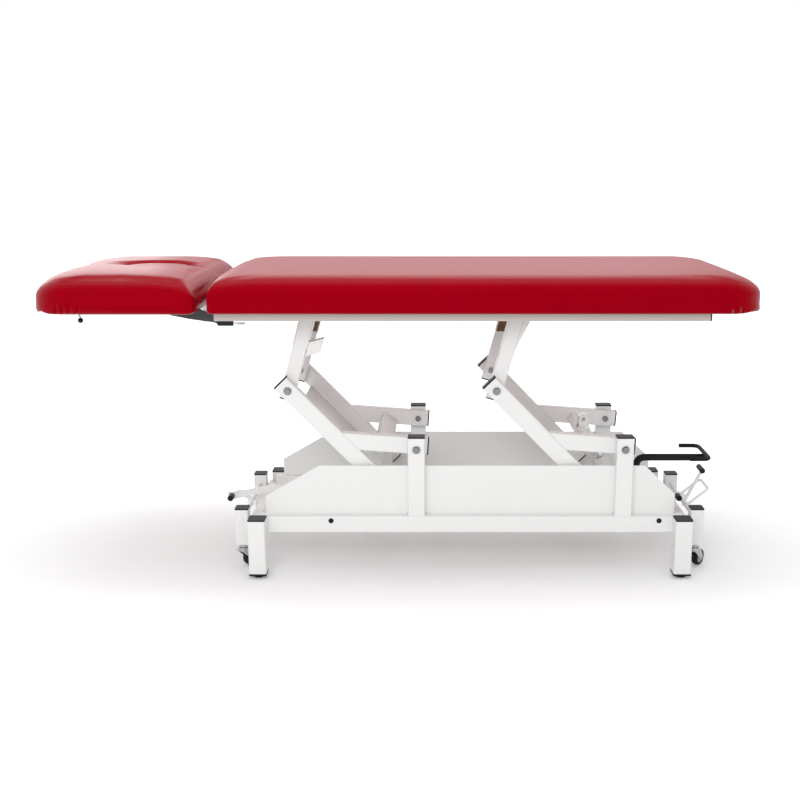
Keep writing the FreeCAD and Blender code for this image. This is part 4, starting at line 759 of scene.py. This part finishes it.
def make_leg_shade_boards():
    """Brown plywood boards on the inner faces of the legs, under the frame: they stand in for the brown shade that
    falls on the legs there.
    """
    parts = []
    for knee in (KNEE_LEFT, KNEE_RIGHT):
        low, high = [leg_face_x(knee, z) - LEG_HALF / math.cos(LEG_LEAN) for z in (SHADE_BOARD_LOW, FRAME_UNDERSIDE)]
        outline = [(low - SHADE_BOARD_HALF, SHADE_BOARD_LOW), (low + SHADE_BOARD_HALF, SHADE_BOARD_LOW),
                   (high + SHADE_BOARD_HALF, FRAME_UNDERSIDE), (high - SHADE_BOARD_HALF, FRAME_UNDERSIDE)]
        for side in (-1, 1):
            parts.append(prism(outline, side * (LEG_INNER - SHADE_BOARD_THICKNESS), side * LEG_INNER, "shade_board", PLYWOOD))
    finish_piece(joined(parts, "leg_shade_boards"), "plywood", "bed")


WASHER_INNER = 9.6 * MM
WASHER_OUTER = 12.5 * MM
WASHER_THICKNESS = 1.5 * MM


def make_washers():
    """A plated washer under each pivot bolt's head."""
    pivots = (("left_lift", "base", LIFT_LEFT, POST_FACE), ("right_lift", "base", LIFT_RIGHT, POST_FACE),
              ("left_knee", "left_arms", KNEE_LEFT, ARM_FACE), ("right_knee", "right_arms", KNEE_RIGHT, ARM_FACE))
    for name, body, place, face in pivots:
        for side, word in ((-1, "near"), (1, "far")):
            rim = side * WASHER_THICKNESS
            profile = [(WASHER_INNER, 0), (WASHER_OUTER, 0), (WASHER_OUTER, rim), (WASHER_INNER, rim)]
            washer = spun(profile, f"{word}_{name}_washer", ZINC, 0.0, Vector((place.x, side * face, place.z)))
            finish_piece(washer, "zinc_steel", body)


STOP_HEIGHT = 758 * MM
STOP_Y = -285 * MM
STOP_FITTING = (-510 * MM, -460 * MM)
STOP_ROD_START = -490 * MM
STOP_ROD_END = -428 * MM
STOP_ROD_RADIUS = 3 * MM
STOP_GUIDE_HALF = 6 * MM
STOP_GUIDE_SLANT = 8 * MM
STOP_GUIDE_ROUND = 1.5 * MM


def make_head_stop():
    """The head section's stop under the near rail: a black guide and a short plated rod."""
    start, end = STOP_FITTING
    foot = STOP_HEIGHT - STOP_GUIDE_HALF
    guide = prism([(start, FRAME_UNDERSIDE), (start + STOP_GUIDE_SLANT, foot), (end, foot), (end, FRAME_UNDERSIDE)],
                  STOP_Y - STOP_GUIDE_HALF, STOP_Y + STOP_GUIDE_HALF, "head_stop_guide", BLACK_PLASTIC,
                  STOP_GUIDE_ROUND)
    finish_piece(guide, "black_plastic", "bed")
    rod = wire([(STOP_ROD_START, STOP_Y, STOP_HEIGHT), (STOP_ROD_END, STOP_Y, STOP_HEIGHT)], STOP_ROD_RADIUS, 0,
               "head_stop_rod", ZINC)
    finish_piece(rod, "zinc_steel", "bed")


LEVER_FOOT = Vector((732, 0, 215)) * MM
LEVER_STEM = 78 * MM
LEVER_END = 948 * MM
LEVER_RADIUS = 11 * MM
LEVER_BEND = 28 * MM
HANDLE_RADIUS = 6.5 * MM
HANDLE_HALF = 80 * MM
HANDLE_RETURN = 60 * MM
HANDLE_BEND = 22 * MM
HANDLE_SEAT = 0.8
PLATE_FOOT = 156 * MM
PLATE_HALF = 18 * MM
PLATE_FACES = (17 * MM, 22 * MM)
PUMP_TUBE_HALF = 20 * MM
LEVER_PIN_RADIUS = 6 * MM


def make_pump_lever():
    """The pump lever: an upright stem, a level arm and a square handle laid on its end."""
    level = LEVER_FOOT.z + LEVER_STEM
    arm = wire([LEVER_FOOT, (LEVER_FOOT.x, 0, level), (LEVER_END, 0, level)], LEVER_RADIUS, LEVER_BEND, "arm",
               DIPPED_PVC)
    bar = LEVER_END - HANDLE_RADIUS
    back = bar - HANDLE_RETURN
    top = level + LEVER_RADIUS + HANDLE_RADIUS * HANDLE_SEAT
    handle = wire([(back, -HANDLE_HALF, top), (bar, -HANDLE_HALF, top), (bar, HANDLE_HALF, top),
                   (back, HANDLE_HALF, top)], HANDLE_RADIUS, HANDLE_BEND, "handle", DIPPED_PVC)
    lever = joined([arm, handle], "pump_lever_bar")
    for polygon in lever.data.polygons:
        polygon.use_smooth = True
    finish_piece(lever, "black_steel", "pump_lever", "pump_lever")


def make_pump_lever_plates():
    """Two upright plates on the pump tube, with the lever's pin through them."""
    x, z = LEVER_FOOT.x, LEVER_FOOT.z
    pump_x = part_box("pump_lever_bracket")[1].x - PUMP_TUBE_HALF
    outline = [(pump_x - PUMP_TUBE_HALF, PLATE_FOOT), (pump_x + PUMP_TUBE_HALF, PLATE_FOOT), (x + PLATE_HALF, z),
               (x + PLATE_HALF / 2, z + PLATE_HALF), (x - PLATE_HALF / 2, z + PLATE_HALF), (x - PLATE_HALF, z)]
    inner, outer = PLATE_FACES
    parts = [prism(outline, side * inner, side * outer, "plate", WHITE_COAT) for side in (-1, 1)]
    parts.append(wire([(x, -outer, z), (x, outer, z)], LEVER_PIN_RADIUS, 0, "pin", WHITE_COAT))
    finish_piece(joined(parts, "pump_lever_plates"), "white_powder_coat", "base", "pump_lever_bracket")


# Castor wheels: half outlines as (radius, out from the middle), mirrored to both sides
TYRE_HALF = ((17, 9), (20, 10), (22.6, 9.4), (24.4, 7), (25, 3))
HUB_HALF = ((4.1, 10), (8, 10), (8.6, 9), (9.4, 5.5), (14, 5), (15, 8), (17, 8.4))


def mirrored(half):
    """A closed profile in metres, up one side and down the other."""
    near = [(radius * MM, -out * MM) for radius, out in half]
    far = [(radius * MM, out * MM) for radius, out in half]
    return near + far[::-1]


def make_wheel(corner):
    body = f"{corner}_wheel"
    roll = next(j for j in frame["joints"] if j["child"] == body)
    centre = Vector(roll["pos_m"])
    turn = math.atan2(-roll["axis"][0], roll["axis"][1])
    tyre = spun(mirrored(TYRE_HALF), f"{corner}_tyre", BLACK_RUBBER, turn, centre)
    hub = spun(mirrored(HUB_HALF), f"{corner}_hub", HUB_NYLON, turn, centre)
    for piece in (tyre, hub):
        finish_piece(piece, "castor_tyre", body, body)


# Stage, camera and light
FLOOR_HALF_SIZE = 40.0
# The floor's glow for the camera, from near the bed to far off: the weak glow near the bed paints a darker shadow there
FLOOR_LIFT = 0.04
FAR_FLOOR_LIFT = 0.6
LIFT_START = 0.2
LIFT_END = 1.3
WORLD_STRENGTH = 0.75

# Name, place, target, width, height and watts
SOFTBOXES = (
    ("overhead_softbox", (0.0, 0.0, 3.2), (0, 0, 0.8), 3.0, 0.9, 20),
    ("rear_softbox", (0.0, 3.0, 2.4), (0, 0, 0.9), 3.4, 0.9, 14),
    ("front_softbox", (-0.6, -3.6, 2.2), (0, 0, 0.4), 2.4, 1.4, 46),
    ("rear_left_softbox", (-2.4, 3.2, 1.5), (-0.8, 0, 0.89), 1.8, 1.0, 14),
)


def seen_directly(tree):
    """Is 1 for the camera's rays and for those in mirrors and glass."""
    path = add_node(tree, "ShaderNodeLightPath", {})
    seen = add_node(tree, "ShaderNodeMath", {0: path.outputs["Is Camera Ray"], 1: path.outputs["Is Glossy Ray"]},
                    operation="MAXIMUM")
    return add_node(tree, "ShaderNodeMath", {0: seen.outputs[0], 1: path.outputs["Is Transmission Ray"]},
                    operation="MAXIMUM")


def make_floor():
    bm = bmesh.new()
    bmesh.ops.create_grid(bm, x_segments=1, y_segments=1, size=FLOOR_HALF_SIZE)
    floor = piece_from(bm, "studio_floor", studio_floor_paint(), smooth=False)


def studio_floor_paint():
    """A pale matt floor that keeps soft shadows, and glows for the camera: weakly near the bed, which paints a darker
    shadow round the base, and strongly far off, which makes it white.
    """
    material, tree, shader, place = start_material("pale_studio_floor", 0.9)
    shader.inputs["Base Color"].default_value = srgb("#F2F2F2")
    shader.inputs["Specular IOR Level"].default_value = 0.1
    seen = seen_directly(tree)
    # The painted shadow lies along the base, so the distance counts less along X
    squeezed = add_node(tree, "ShaderNodeMapping", {"Vector": place, "Scale": (0.35, 1.0, 1.0)})
    away = add_node(tree, "ShaderNodeVectorMath", {0: squeezed.outputs["Vector"]}, operation="LENGTH")
    lift = add_node(tree, "ShaderNodeMapRange", {"Value": away.outputs["Value"], "From Min": LIFT_START,
                                                 "From Max": LIFT_END, "To Min": FLOOR_LIFT,
                                                 "To Max": FAR_FLOOR_LIFT})
    strength = add_node(tree, "ShaderNodeMath", {0: seen.outputs[0], 1: lift.outputs["Result"]}, operation="MULTIPLY")
    shader.inputs["Emission Color"].default_value = (1, 1, 1, 1)
    tree.links.new(strength.outputs[0], shader.inputs["Emission Strength"])
    return material


def make_world():
    world = bpy.data.worlds.new("white_studio")
    bpy.context.scene.world = world
    world.use_nodes = True
    tree = world.node_tree
    light = tree.nodes["Background"]
    light.inputs["Color"].default_value = (1, 1, 1, 1)
    light.inputs["Strength"].default_value = WORLD_STRENGTH
    seen = seen_directly(tree)
    backdrop = add_node(tree, "ShaderNodeBackground", {"Color": (1, 1, 1, 1), "Strength": 1.0})
    both = add_node(tree, "ShaderNodeMixShader", {0: seen.outputs[0], 1: light.outputs[0], 2: backdrop.outputs[0]})
    tree.links.new(both.outputs[0], tree.nodes["World Output"].inputs["Surface"])


def make_softbox(name, place, target, width, height, watts):
    lamp = bpy.data.lights.new(name, "AREA")
    lamp.shape = "RECTANGLE"
    lamp.size = width
    lamp.size_y = height
    lamp.energy = watts
    softbox = bpy.data.objects.new(name, lamp)
    softbox.visible_camera = False
    softbox.location = place
    softbox.rotation_euler = (Vector(target) - Vector(place)).to_track_quat("-Z", "Y").to_euler()
    bpy.context.scene.collection.objects.link(softbox)


def make_camera():
    lens = bpy.data.cameras.new("photo_camera")
    lens.sensor_width = SENSOR_WIDTH
    lens.lens = FOCAL_PIXELS / FRAME_PIXELS * SENSOR_WIDTH
    lens.shift_x = (FRAME_PIXELS / 2 - PRINCIPAL_PIXEL_X) / FRAME_PIXELS
    camera = bpy.data.objects.new("photo_camera", lens)
    camera.location = CAMERA_PLACE
    camera.rotation_euler = (math.radians(90 - CAMERA_PITCH_DOWN), 0, 0)
    bpy.context.scene.collection.objects.link(camera)
    bpy.context.scene.camera = camera


make_camera()
make_floor()
make_world()
for softbox_facts in SOFTBOXES:
    make_softbox(*softbox_facts)
bpy.context.scene.view_settings.view_transform = "Standard"

finish_cad_nodes()
make_main_cushion()
make_head_cushion()
make_face_plug()
make_left_arm_ties()
make_right_arm_ties()
make_leg_blocks()
make_leg_shade_boards()
make_washers()
make_head_stop()
make_pump_lever()
make_pump_lever_plates()
for castor in ("near_left", "far_left", "near_right", "far_right"):
    make_wheel(castor)
